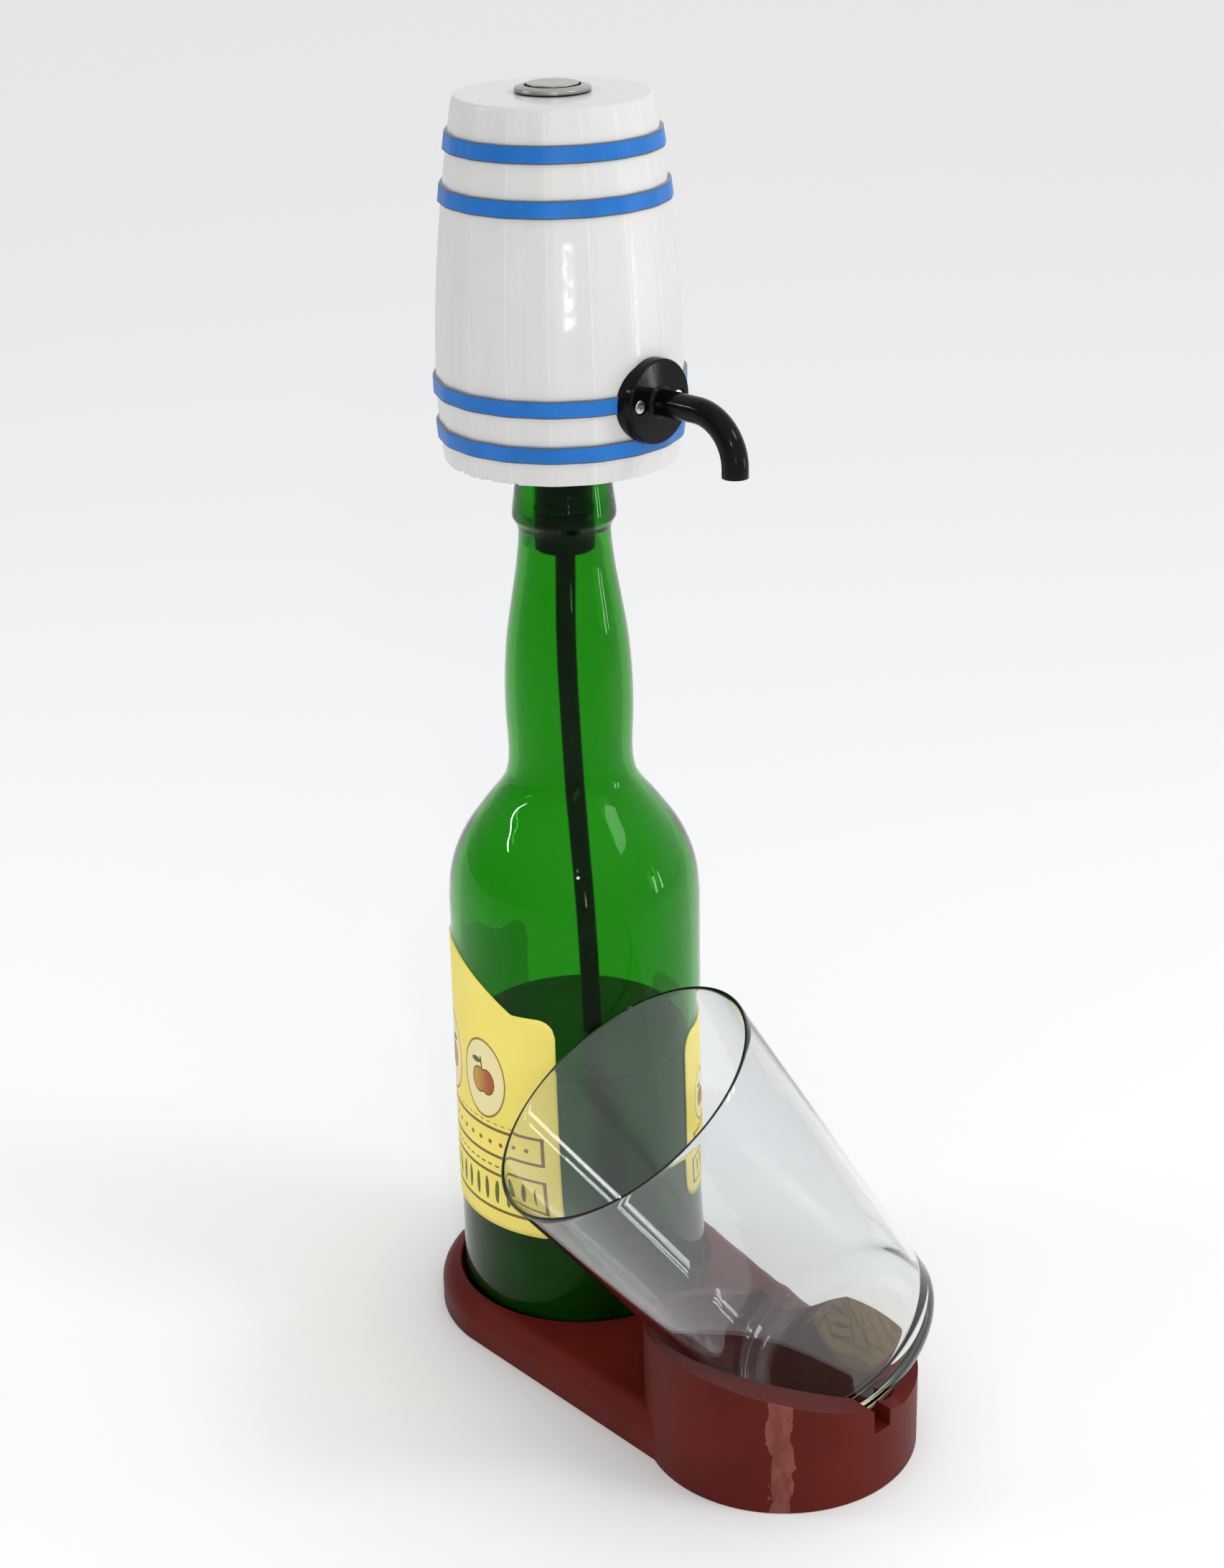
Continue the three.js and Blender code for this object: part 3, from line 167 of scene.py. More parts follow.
def turned(points, steps, start=0):
    """A closed outline of (radius, height) points turned about Z, as a clean solid."""
    bm = bmesh.new()
    verts = [bm.verts.new((r, 0, z)) for r, z in points]
    edges = [bm.edges.new(pair) for pair in zip(verts, verts[1:] + verts[:1])]
    on_axis = [e for e in edges if all(abs(v.co.x) < MERGE for v in e.verts)]
    bmesh.ops.delete(bm, geom=on_axis, context="EDGES")
    bmesh.ops.rotate(bm, cent=(0, 0, 0), matrix=Matrix.Rotation(start, 3, "Z"), verts=bm.verts)
    bmesh.ops.spin(
        bm, geom=bm.verts[:] + bm.edges[:], cent=(0, 0, 0), axis=(0, 0, 1), dvec=(0, 0, 0),
        angle=TURN, steps=steps, use_merge=True,
    )
    return cleaned(bm)


def edges_at(bm, height):
    """The edges of a bmesh that lie at a height."""
    return [e for e in bm.edges if all(abs(v.co.z - height) < LEVEL for v in e.verts)]


def rounded(bm, edges, radius, segments):
    """Rounds edges of a bmesh, each in a number of segments."""
    bmesh.ops.bevel(
        bm, geom=edges, offset=radius, offset_type="OFFSET", segments=segments,
        profile=0.5, affect="EDGES", clamp_overlap=True, material=-1,
    )


def slab(outline, depth):
    """A flat outline in the XY plane, extruded up Z by depth."""
    bm = bmesh.new()
    face = bm.faces.new([bm.verts.new((x, y, 0)) for x, y in outline])
    grown = bmesh.ops.extrude_face_region(bm, geom=[face])["geom"]
    raised = [v for v in grown if isinstance(v, bmesh.types.BMVert)]
    bmesh.ops.translate(bm, vec=(0, 0, depth), verts=raised)
    bmesh.ops.recalc_face_normals(bm, faces=bm.faces)
    return bm


def moved(bm, matrix):
    bmesh.ops.transform(bm, matrix=matrix, verts=bm.verts)
    return bm


def box(size, centre):
    bm = bmesh.new()
    bmesh.ops.create_cube(bm, size=1)
    bmesh.ops.scale(bm, vec=size, verts=bm.verts)
    bmesh.ops.translate(bm, vec=centre, verts=bm.verts)
    return bm


def rod(radius, low, high, steps=32):
    return turned([(0, low), (radius, low), (radius, high), (0, high)], steps)


def along_x(bm, y=0, z=0):
    """Turns a piece made along Z to lie along X."""
    return moved(bm, Matrix.Translation((0, y, z)) @ Matrix.Rotation(math.pi / 2, 4, "Y"))


def combined(base, other, operation="DIFFERENCE"):
    """Base with other cut from it or joined to it, both in millimetres."""
    shapes = []
    for bm in (base, other):
        mesh = bpy.data.meshes.new("blank")
        bm.to_mesh(mesh)
        bm.free()
        shape = bpy.data.objects.new("blank", mesh)
        bpy.context.scene.collection.objects.link(shape)
        shapes.append(shape)
    cut = shapes[0].modifiers.new("cut", "BOOLEAN")
    cut.operation = operation
    cut.solver = "EXACT"
    cut.object = shapes[1]
    bpy.context.view_layer.update()
    result = shapes[0].evaluated_get(bpy.context.evaluated_depsgraph_get()).to_mesh()
    bm = bmesh.new()
    bm.from_mesh(result)
    for shape in shapes:
        mesh = shape.data
        bpy.data.objects.remove(shape)
        bpy.data.meshes.remove(mesh)
    bmesh.ops.remove_doubles(bm, verts=bm.verts, dist=MERGE)
    return bm


def tube_along(points, radius, sides, bore=0):
    """A round tube along points, open at both ends where it has a bore."""
    curve = bpy.data.curves.new("route", "CURVE")
    curve.dimensions = "3D"
    curve.bevel_depth = radius
    curve.bevel_resolution = sides // 2 - 2
    curve.use_fill_caps = not bore
    spline = curve.splines.new("POLY")
    spline.points.add(len(points) - 1)
    for point, place in zip(spline.points, points):
        point.co = (*place, 1)
    route = bpy.data.objects.new("route", curve)
    bpy.context.scene.collection.objects.link(route)
    bpy.context.view_layer.update()
    bm = bmesh.new()
    bm.from_mesh(route.evaluated_get(bpy.context.evaluated_depsgraph_get()).to_mesh())
    bpy.data.objects.remove(route)
    bpy.data.curves.remove(curve)
    cleaned(bm)
    if bore:
        bmesh.ops.solidify(bm, geom=bm.faces[:], thickness=radius - bore)
        bmesh.ops.recalc_face_normals(bm, faces=bm.faces)
    return bm


# Materials
class Number:
    """A value socket that Python's own signs work on."""

    def __init__(self, finish, socket):
        self.finish = finish
        self.socket = socket

    def maths(self, operation, *values):
        return self.finish.node("ShaderNodeMath", {"operation": operation}, dict(enumerate(values)))

    def __add__(self, other):
        return self.maths("ADD", self, other)

    def __radd__(self, other):
        return self.maths("ADD", other, self)

    def __sub__(self, other):
        return self.maths("SUBTRACT", self, other)

    def __rsub__(self, other):
        return self.maths("SUBTRACT", other, self)

    def __mul__(self, other):
        return self.maths("MULTIPLY", self, other)

    def __truediv__(self, other):
        return self.maths("DIVIDE", self, other)

    def __lt__(self, other):
        return self.maths("LESS_THAN", self, other)

    def __gt__(self, other):
        return self.maths("GREATER_THAN", self, other)

    def __abs__(self):
        return self.maths("ABSOLUTE", self)

    def __pow__(self, other):
        return self.maths("POWER", self, other)

    def least(self, other):
        return self.maths("MINIMUM", self, other)

    def most(self, other):
        return self.maths("MAXIMUM", self, other)

    def sine(self):
        return self.maths("SINE", self)

    def angle_from(self, x):
        """Angle about the Z axis of a point whose y this is."""
        return self.maths("ARCTAN2", self, x)

    def folded(self, width):
        """Rises to width and falls to 0 again, over and over."""
        return self.maths("PINGPONG", self, width)

    def eased(self, low, high):
        """0 below low and 1 above high, with a soft step between."""
        return self.finish.node(
            "ShaderNodeMapRange", {"interpolation_type": "SMOOTHSTEP"},
            {"Value": self, "From Min": low, "From Max": high},
        )


class Finish:
    """A material with one Principled shader, whose nodes are made by one method."""

    def __init__(self, name, color, roughness, **constants):
        self.material = bpy.data.materials.new(name)
        self.material.use_nodes = True
        self.tree = self.material.node_tree
        self.tree.nodes.clear()
        self.shader = self.tree.nodes.new("ShaderNodeBsdfPrincipled")
        self.output = self.tree.nodes.new("ShaderNodeOutputMaterial")
        self.tree.links.new(self.shader.outputs[0], self.output.inputs["Surface"])
        self.set(self.shader, "Base Color", (*color, 1))
        self.set(self.shader, "Roughness", roughness)
        for key, value in constants.items():
            self.set(self.shader, key.replace("_", " "), value)
        self.material.diffuse_color = (*color, 1)

    def set(self, node, key, value):
        if isinstance(value, Number):
            value = value.socket
        if isinstance(value, bpy.types.NodeSocket):
            self.tree.links.new(value, node.inputs[key])
        else:
            node.inputs[key].default_value = value

    def node(self, kind, settings=None, inputs=None, output=0):
        made = self.tree.nodes.new(kind)
        for key, value in (settings or {}).items():
            if key == "stops":
                ramp = made.color_ramp
                while len(ramp.elements) < len(value):
                    ramp.elements.new(0.5)
                for element, (place, color) in zip(ramp.elements, value):
                    element.position = place
                    element.color = (*color, 1)
            else:
                setattr(made, key, value)
        for key, value in (inputs or {}).items():
            self.set(made, key, value)
        return Number(self, made.outputs[output])

    def place(self, kind="Object"):
        """The coordinates of a point: the piece's own, or its UV map."""
        return self.node("ShaderNodeTexCoord", None, None, kind)

    def parts(self, vector):
        split = self.tree.nodes.new("ShaderNodeSeparateXYZ")
        self.tree.links.new(vector.socket, split.inputs[0])
        return [Number(self, socket) for socket in split.outputs]

    def noise(self, scale, detail=3, vector=None, stretch=None):
        place = vector or self.place()
        if stretch:
            place = self.node("ShaderNodeMapping", None, {"Vector": place, "Scale": stretch})
        return self.node(
            "ShaderNodeTexNoise", None,
            {"Vector": place, "Scale": scale, "Detail": detail, "Roughness": 0.55},
        )

    def blend(self, share, first, second):
        """The first colour where share is 0, and the second where it is 1."""
        mix = self.tree.nodes.new("ShaderNodeMix")
        mix.data_type = "RGBA"
        self.set(mix, 0, share)
        for key, color in ((6, first), (7, second)):
            self.set(mix, key, (*color, 1) if isinstance(color, tuple) else color)
        return Number(self, mix.outputs[2])

    def paint(self, color):
        self.set(self.shader, "Base Color", color)
        return self

    def dull(self, roughness):
        self.set(self.shader, "Roughness", roughness)
        return self

    def bump(self, height, depth, strength=1.0):
        """Raises the surface by height, a 0 to 1 value, times depth in metres."""
        bumped = self.node(
            "ShaderNodeBump", None,
            {"Height": height, "Distance": depth, "Strength": strength},
        )
        self.set(self.shader, "Normal", bumped)
        return self


def reach_of(x, y):
    """Distance of a point from the Z axis."""
    return (x ** 2 + y ** 2) ** 0.5


def layered(z, thickness):
    """The printed layers of a part, as a wave up Z, with their thickness in millimetres."""
    return (z * (TURN / (thickness * MM))).sine()


def printed_brown():
    """Dark red-brown printed plastic: fine layers, a faint grain and one rough seam."""
    made = Finish("printed_brown", (0.11, 0.01, 0.006), 0.42, Specular_IOR_Level=0.09)
    x, y, z = made.parts(made.place())
    grain = made.noise(1400, 2)
    cloud = made.noise(28, 3)
    color = made.blend(cloud.eased(0.3, 0.75), (0.094, 0.0085, 0.005), (0.128, 0.0125, 0.0075))
    ragged = made.noise(240, 3, stretch=(1, 1, 0.45))
    from_holder = x - HOLDER_X * MM
    near = abs(y.angle_from(from_holder) - math.radians(SEAM_ANGLE)) + (ragged - 0.5) * 0.16
    seam = (near < 0.078) * (reach_of(from_holder, y) > (HOLDER_R - 0.6) * MM)
    fleck = ragged.eased(0.42, 0.62)
    color = made.blend(seam * 0.85, color, (0.235, 0.075, 0.058))
    color = made.blend(seam * fleck * 0.45, color, (0.12, 0.018, 0.012))
    made.paint(color)
    made.dull(0.36 + cloud * 0.14 - seam * 0.08)
    height = grain * 0.35 + layered(z, 0.25) * 0.2 + seam * fleck * 3
    return made.bump(height, 0.00006).material


def bottle_green():
    """Clear green glass, darker where it is thick."""
    made = Finish(
        "bottle_green", (0.253, 0.652, 0.175), 0.0, IOR=1.5, Transmission_Weight=1.0,
        Specular_Tint=(0.16, 0.22, 0.16, 1))
    depth = made.node(
        "ShaderNodeVolumeAbsorption", None, {"Color": (0.232, 0.76, 0.024, 1), "Density": 340})
    made.set(made.output, "Volume", depth)
    return made.bump(made.noise(22, 2), 0.0004, 0.25).material


def cider():
    """Cloudy cider of a warm grey, which looks green through the bottle."""
    made = Finish("cider", (0.35, 0.33, 0.18), 0.25, IOR=1.34, Transmission_Weight=0.55)
    cloud = made.noise(26, 3)
    made.paint(made.blend(cloud.eased(0.3, 0.7), (0.35, 0.28, 0.22), (0.44, 0.38, 0.3)))
    return made.material


def clear_glass():
    """Thin clear glass with a faint waviness."""
    made = Finish("clear_glass", (0.9, 0.915, 0.925), 0.0, IOR=1.5, Transmission_Weight=1.0)
    return made.bump(made.noise(30, 2), 0.0002, 0.12).material


def white_plastic():
    """Gloss white plastic, with tall fine streaks, the layers of a printed part and a painted
    highlight: a paler line along each corner between two staves."""
    made = Finish("white_plastic", (0.66, 0.66, 0.65), 0.32, Coat_Roughness=0.05)
    x, y, z = made.parts(made.place())
    cloud = made.noise(14, 1)
    streak = made.noise(330, 3, stretch=(1, 1, 0.035))
    color = made.blend(cloud.eased(0.1, 0.9), (0.645, 0.637, 0.615), (0.672, 0.668, 0.655))
    color = made.blend(streak.eased(0.45, 0.8) * 0.3, color, (0.57, 0.57, 0.56))
    corner_angle = math.radians(HEAD_TURN) + stave_start
    from_corner = (y.angle_from(x) - corner_angle).folded(stave_start) * reach_of(x, y)
    # Painted highlight: a paler line along each stave corner, where the corners catch the light.
    corner_highlight = 1 - (from_corner + (streak - 0.5) * 0.0004).eased(0.1 * MM, 0.4 * MM)
    corner_highlight = corner_highlight * (z < (PANEL_Z - 1.5) * MM)
    made.paint(made.blend(corner_highlight * 0.3, color, (0.8, 0.8, 0.79)))
    made.dull(0.3 + cloud * 0.1 + corner_highlight * 0.1)
    gloss = made.noise(420, 4, stretch=(1, 1, 0.7))
    made.set(made.shader, "Coat Weight", 0.1 + gloss.eased(0.42, 0.58) * 0.3)
    ripple = made.noise(150, 2, stretch=(1, 1, 2.5))
    height = streak * 0.4 + layered(z, 0.3) * 0.05 + ripple * 0.35
    return made.bump(height, 0.00012, 0.5).material


def hoop_blue(name, low):
    """Blue band with a thin grey line along each edge, paler on its top and underside."""
    made = Finish(name, (0.008, 0.162, 0.6), 0.4, Specular_IOR_Level=0.3)
    z = made.parts(made.place())[2]
    middle = (low + HOOP_H / 2) * MM
    edge = abs(z - middle) + (made.noise(300, 2) - 0.5) * 0.0003
    grey = edge.eased((HOOP_H / 2 - 0.5) * MM, (HOOP_H / 2 - 0.34) * MM)
    cloud = made.noise(60, 3)
    blue = made.blend(cloud.eased(0.3, 0.7), (0.005, 0.135, 0.46), (0.01, 0.165, 0.56))
    facing_up = abs(made.parts(made.place("Normal"))[2]).eased(0.3, 0.7)
    line = made.blend(facing_up, (0.07, 0.085, 0.11), (0.2, 0.24, 0.3))
    made.paint(made.blend(grey, blue, line))
    return made.bump(made.noise(500, 2), 0.00005, 0.5).material


def gloss_black(name, color, roughness, shine):
    """Black moulded plastic with a faint ripple."""
    made = Finish(name, color, roughness, Specular_IOR_Level=shine)
    cloud = made.noise(70, 3)
    made.dull(roughness + cloud * 0.1)
    return made.bump(made.noise(420, 3), 0.00004, 0.6).material


def rubber(name, color):
    """Dull rubber with a fine grain."""
    made = Finish(name, color, 0.7)
    return made.bump(made.noise(900, 3), 0.00006, 0.6).material


def hose_silicone():
    """Clear silicone of the two hoses, slightly hazy."""
    made = Finish("silicone", (0.8, 0.82, 0.82), 0.35, Transmission_Weight=0.5, IOR=1.41)
    haze = made.noise(120, 3)
    made.paint(made.blend(haze.eased(0.3, 0.7), (0.74, 0.77, 0.77), (0.85, 0.87, 0.87)))
    made.dull(0.3 + haze * 0.15)
    return made.bump(made.noise(600, 3), 0.00004, 0.5).material


def brushed_along(made, lines, roughness):
    """Gives a metal fine brushing along lines, from a roughness up."""
    grain = made.noise(6500, 2, vector=lines)
    made.dull(roughness + grain * 0.14)
    return made.bump(grain, 0.00002, 0.5).material


def brushed(name, color, roughness=0.22):
    """Metal with fine brushing along X."""
    made = Finish(name, color, roughness, Metallic=1.0)
    _, y, z = made.parts(made.place())
    lines = made.node("ShaderNodeCombineXYZ", None, {0: y, 1: z})
    return brushed_along(made, lines, roughness)


def ring_metal():
    """Satin steel of the button and its ring, with painted shade, near black, in the groove and round
    the ring's foot.
    """
    made = Finish("ring_steel", (0.36, 0.355, 0.335), 0.28, Metallic=1.0)
    x, y, z = made.parts(made.place())
    reach = reach_of(x, y)
    # Painted shade: near black round the ring's foot and down in the groove beside the cap.
    foot = 1 - z.eased((PANEL_Z + 0.35) * MM, (PANEL_Z + 0.95) * MM)
    low = 1 - z.eased((PANEL_Z + 2.15) * MM, (PANEL_Z + 2.45) * MM)
    groove = low * (reach < (BUTTON_BORE_R + 0.2) * MM)
    made.paint(made.blend(foot.most(groove), (0.37, 0.365, 0.345), (0.02, 0.02, 0.02)))
    lines = made.node("ShaderNodeCombineXYZ", None, {0: reach, 2: z})
    return brushed_along(made, lines, 0.22)


def grained(name, color, roughness, scale=700, metallic=0.0, spread=0.25):
    """Plain moulded or cast stuff with its own grain and a slight change of tone."""
    made = Finish(name, color, roughness, Metallic=metallic)
    cloud = made.noise(90, 3)
    dark = tuple(c * (1 - spread) for c in color)
    light = tuple(min(1, c * (1 + spread)) for c in color)
    made.paint(made.blend(cloud.eased(0.25, 0.75), dark, light))
    made.dull(roughness - 0.06 + cloud * 0.12)
    return made.bump(made.noise(scale, 3), 0.00005, 0.6).material


def label_paper(name, half_width, height, row):
    """Yellow label: two brown frames, a row of ovals with an apple in each, and small sprigs,
    berries and dashes. Its UV map is in millimetres, with 0, 0 at the middle of its foot."""
    made = Finish(name, (0.8, 0.67, 0.17), 0.5, Specular_IOR_Level=0.3)
    u, v, _ = made.parts(made.place("UV"))
    ink, leaf, blush = (0.13, 0.05, 0.012), (0.13, 0.15, 0.02), (0.42, 0.1, 0.03)
    cream, gold = (0.92, 0.8, 0.42), (0.55, 0.33, 0.05)
    prints = []

    def oval(x, y, a, b):
        """Below 1 inside an oval round 0, 0."""
        return (x / a) ** 2 + (y / b) ** 2

    def ring(value, width):
        """1 in a band where value is near 1."""
        return abs(value - 1) < width

    def in_row(spacing):
        """Distance along the label from the middle of the nearest of a row of like figures."""
        return (u + spacing / 2).folded(spacing) - spacing / 2

    for low, high in ((0.27, 0.385), (0.06, 0.21)):
        wide, tall = abs(u) / (half_width - 5), abs(v - height * (low + high) / 2) / height
        outer = (wide < 1) * (tall < (high - low) / 2)
        inner = (abs(u) < half_width - 6.2) * (tall < (high - low) / 2 - 0.0115)
        prints.append(((outer - inner) * 0.9, ink))

    x, y = in_row(row), v - height * 0.56
    inside = abs(u) < row * 1.5
    field = oval(x, y, row * 0.41, height * 0.145)
    size = row * 0.19
    apple = oval(x + size * 0.4, y + 1, size * 0.75, size).least(
        oval(x - size * 0.4, y + 1, size * 0.75, size))
    skin = made.blend((x / size * 0.5 + 0.5).eased(0.1, 0.95), blush, (0.58, 0.33, 0.06))
    stem = (abs(x - y * 0.12) < 0.32) * (abs(y - size * 1.15) < size * 0.5)
    leaves = oval(x - size * 0.68, y - size * 1.3, size * 0.5, size * 0.24)
    prints += [
        ((field < 1) * inside, cream),
        (ring(field, 0.055) * inside, ink),
        (ring(field, 0.02) * inside, gold),
        ((apple < 1) * inside, skin),
        (ring(apple, 0.1) * inside, ink),
        (stem * inside, ink),
        ((leaves < 1) * inside, leaf),
    ]

    small, from_sprigs = in_row(4.6), v - height * 0.135
    lean = made.noise(40, 1) - 0.5
    sprig = oval(small + from_sprigs * lean, from_sprigs, 0.9, height * 0.045)
    berry = oval(abs(small) - 2.3, v - height * 0.325, 0.8, 0.8)
    dash = in_row(3.1)
    row_end = abs(u) < half_width - 9
    prints += [
        ((sprig < 1) * row_end, leaf),
        ((berry < 1) * row_end, blush),
        ((oval(dash, v - height * 0.235, 1.05, 0.28) < 1) * (abs(u) < half_width * 0.6), ink),
        ((oval(dash, v - height * 0.4, 1.05, 0.28) < 1) * (abs(u) < half_width * 0.7), gold),
    ]

    color = made.blend(
        made.noise(60, 3).eased(0.3, 0.7), (0.95, 0.79, 0.155), (0.98, 0.84, 0.178))
    for mask, tone in prints:
        color = made.blend(mask, color, tone)
    made.paint(color)
    return made.bump(made.noise(800, 3), 0.00003, 0.6).material


def glowing_label_reverse():
    """The glued side of the labels, which glows: painted light in place of the light that comes through
    the thin paper.
    """
    # Painted light: the emission makes the paper's back glow, as if lit through the paper.
    made = Finish("glowing_label_reverse", (0.7, 0.68, 0.6), 0.7, Emission_Strength=0.62)
    fibre = made.noise(160, 4)
    made.set(made.shader, "Emission Color", made.blend(
        fibre.eased(0.25, 0.8), (0.86, 0.8, 0.6), (1, 0.95, 0.75)))
    return made.material


brown = printed_brown()
green = bottle_green()
reverse = glowing_label_reverse()
liquid = cider()
clear = clear_glass()
white = white_plastic()
black = gloss_black("gloss_black", (0.003, 0.003, 0.0035), 0.2, 0.08)
spout_black = gloss_black("spout_black", (0.0025, 0.0025, 0.003), 0.08, 0.13)
tube_black = gloss_black("tube_black", (0.0025, 0.003, 0.003), 0.3, 0.08)
seal_rubber = rubber("seal_rubber", (0.012, 0.012, 0.012))
silicone = hose_silicone()
ring_steel = ring_metal()
steel = brushed("steel", (0.6, 0.59, 0.57))
can_steel = brushed("can_steel", (0.55, 0.55, 0.56), 0.28)
brass = grained("brass", (0.62, 0.43, 0.16), 0.3, metallic=1.0, spread=0.12)
pump_grey = grained("pump_grey", (0.16, 0.17, 0.175), 0.5)
magnet_grey = grained("magnet_grey", (0.05, 0.05, 0.055), 0.6, 1200, 0.4)
copper = grained("copper", (0.5, 0.2, 0.08), 0.38, 2500, 0.85, 0.3)
cell_wrap = grained("cell_wrap", (0.03, 0.21, 0.28), 0.32, 300)
board_green = grained("board_green", (0.01, 0.09, 0.035), 0.45, 1500)


# Stand
def holder_block():
    """The round holder, with the falling line of its top."""
    bm = rod(HOLDER_R, 0, HOLDER_TOP[0][1], 128)
    moved(bm, Matrix.Translation((HOLDER_X, 0, 0)))
    above, width = 90, 120
    top = slab(HOLDER_TOP + [(HOLDER_TOP[-1][0], above), (HOLDER_TOP[0][0], above)], width)
    turn = Matrix(((0, 0, 1, 0), (1, 0, 0, 0), (0, 1, 0, 0), (0, 0, 0, 1)))
    moved(top, Matrix.Translation((HOLDER_X - width / 2, 0, 0)) @ turn)
    return combined(bm, top)


def glass_outline(grow, length):
    """Outside of the upright glass up to a length, with its wall grown outward."""
    slope = (GLASS_RIM_R - GLASS_BASE_R) / GLASS_L
    sink = min(grow, GAP)
    heel_r = GLASS_BASE_R + slope * GLASS_HEEL_R + grow - GLASS_HEEL_R
    heel = arc(heel_r, GLASS_HEEL_R - sink, GLASS_HEEL_R, -90, 0, 12)
    side = [(GLASS_BASE_R + slope * h + grow, h) for h in (GLASS_HEEL_R + 2, length - 2, length)]
    return [(0, -sink)] + heel + side


def glass_place():
    """Matrix that tilts the upright glass into its place."""
    tilt, azimuth = math.radians(GLASS_TILT), math.radians(GLASS_AZIMUTH)
    axis = Vector((
        math.sin(tilt) * math.cos(azimuth), math.sin(tilt) * math.sin(azimuth), math.cos(tilt)))
    turn = Vector((0, 0, 1)).rotation_difference(axis).to_matrix().to_4x4()
    return Matrix.Translation(GLASS_BASE) @ turn


def make_stand():
    sides = [(HOLDER_X, -HOLDER_HALF_WIDTH), (HOLDER_X, HOLDER_HALF_WIDTH)]
    plinth = slab(sides + arc(0, 0, STAND_END_R, 90, 270, 64), STAND_H)
    rounded(plinth, edges_at(plinth, STAND_H), STAND_EDGE_R, 8)
    body = combined(plinth, holder_block(), "UNION")
    mouth_r = RECESS_R + RECESS_CHAMFER
    recess = turned([
        (0, STAND_FLOOR), (RECESS_R, STAND_FLOOR), (RECESS_R, STAND_H - RECESS_CHAMFER),
        (mouth_r, STAND_H), (mouth_r, STAND_H + OVERRUN), (0, STAND_H + OVERRUN),
    ], 128)
    body = combined(body, recess)
    pocket = turned(glass_outline(POCKET_CLEARANCE, GLASS_L) + [(0, GLASS_L)], 128)
    body = combined(body, moved(pocket, glass_place()))
    notch = box((HOLDER_R, NOTCH_W, NOTCH_H), (HOLDER_R, 0, NOTCH_Z + NOTCH_H / 2))
    turn = Matrix.Translation((HOLDER_X, 0, 0)) @ Matrix.Rotation(math.radians(NOTCH_ANGLE), 4, "Z")
    body = combined(body, moved(notch, turn))
    even_normals(piece(body, "stand_body", brown, "stand", 30, ["stand"]))


# Bottle, cider and labels
def make_bottle():
    neck = smooth_line([(r * BOTTLE_R, h * BOTTLE_H) for h, r in BOTTLE_SIDE], 7)
    inner_r, mouth_z = BOTTLE_R - BOTTLE_WALL, BOTTLE_H - MOUTH_EDGE_R
    collar = smooth_line([
        (14, 262.6), (14.05, 264), (14.7, 265.9), (15.5, 267.3), (15.75, 268.3), (15.6, 270.4),
        (15.2, 273.6), (14.8, 276.4), (14.45, 279.5), (14.3, 283), (MOUTH_R, BOTTLE_H - 1.2),
    ], 3)
    outside = [
        (0, 7), (13, 5.25), (22, 1.6), *arc(25.5, 1.4, 1.4, 200, 270, 3),
        *arc(BOTTLE_R - BOTTLE_HEEL_R, BOTTLE_HEEL_R, BOTTLE_HEEL_R, -90, 0, 12),
        (BOTTLE_R, 8), (BOTTLE_R, 60), (BOTTLE_R, 100), *neck,
        *collar, *arc(MOUTH_R - MOUTH_EDGE_R, mouth_z, MOUTH_EDGE_R, 0, 90, 4),
    ]
    inner_side = [(r - BOTTLE_WALL, z) for r, z in neck if r - BOTTLE_WALL > NECK_BORE_R]
    inside = [
        *arc(NECK_BORE_R + MOUTH_EDGE_R, mouth_z, MOUTH_EDGE_R, 90, 180, 4), (NECK_BORE_R, 264),
        *reversed(inner_side), (inner_r, 60), (inner_r, 13),
        *arc(inner_r - BOTTLE_INNER_HEEL_R, BOTTLE_INNER_HEEL_Z, BOTTLE_INNER_HEEL_R, 0, -80, 10),
        (13, 8.4), (0, 10.2),
    ]
    bm = moved(turned(outside + inside, 160), Matrix.Translation((0, 0, BOTTLE_Z)))
    piece(bm, "bottle_glass", green, "bottle", 60, ["bottle"])


def make_cider():
    """The cider reaches just into the bottle's inner wall, so that no air shows between them,
    and its top curls up a little where it meets the glass."""
    wall = BOTTLE_R - BOTTLE_WALL + 0.15
    heel_r, heel_z = BOTTLE_INNER_HEEL_R, BOTTLE_Z + BOTTLE_INNER_HEEL_Z
    bm = turned([
        (0, BOTTLE_Z + 10.05), (13, BOTTLE_Z + 8.25), *arc(wall - heel_r, heel_z, heel_r, -80, 0, 12),
        (wall, BOTTLE_Z + 13), (wall, CIDER_LEVEL + 1.2), (wall - 0.5, CIDER_LEVEL + 0.5),
        (wall - 1.6, CIDER_LEVEL), (0, CIDER_LEVEL),
    ], 160)
    piece(bm, "cider_fill", liquid, "bottle", 50)


def wrapped_label(name, finish, arc_length, middle, low, top, node, columns, rows):
    """A paper label: a flat sheet cut to its outline, then laid round the bottle."""
    bm = bmesh.new()
    bmesh.ops.create_grid(bm, x_segments=columns, y_segments=rows, size=1)
    flat = bm.loops.layers.uv.new("flat")
    inner = BOTTLE_R + GAP
    half = arc_length / 2

    def height_of(vert):
        share, rise = vert.co.x, (vert.co.y + 1) / 2
        return low(share) + rise * (top(share) - low(share))

    for face in bm.faces:
        for loop in face.loops:
            loop[flat].uv = (loop.vert.co.x * half, height_of(loop.vert) - low(0))
    for vert in bm.verts:
        angle = math.radians(middle) + vert.co.x * half / inner
        vert.co = (inner * math.cos(angle), inner * math.sin(angle), height_of(vert))
    bmesh.ops.recalc_face_normals(bm, faces=bm.faces)
    face = bm.faces[:][0]
    if face.normal.dot(face.calc_center_median() * Vector((1, 1, 0))) < 0:
        bmesh.ops.reverse_faces(bm, faces=bm.faces)
    made = piece(bm, name, finish, "bottle", 40, [node])
    # The glued side takes the glowing finish: painted light in place of light through the paper.
    made.data.materials.append(reverse)
    wall = made.modifiers.new("thickness", "SOLIDIFY")
    wall.thickness = 0.2 * MM
    wall.offset = 1
    wall.material_offset = 1


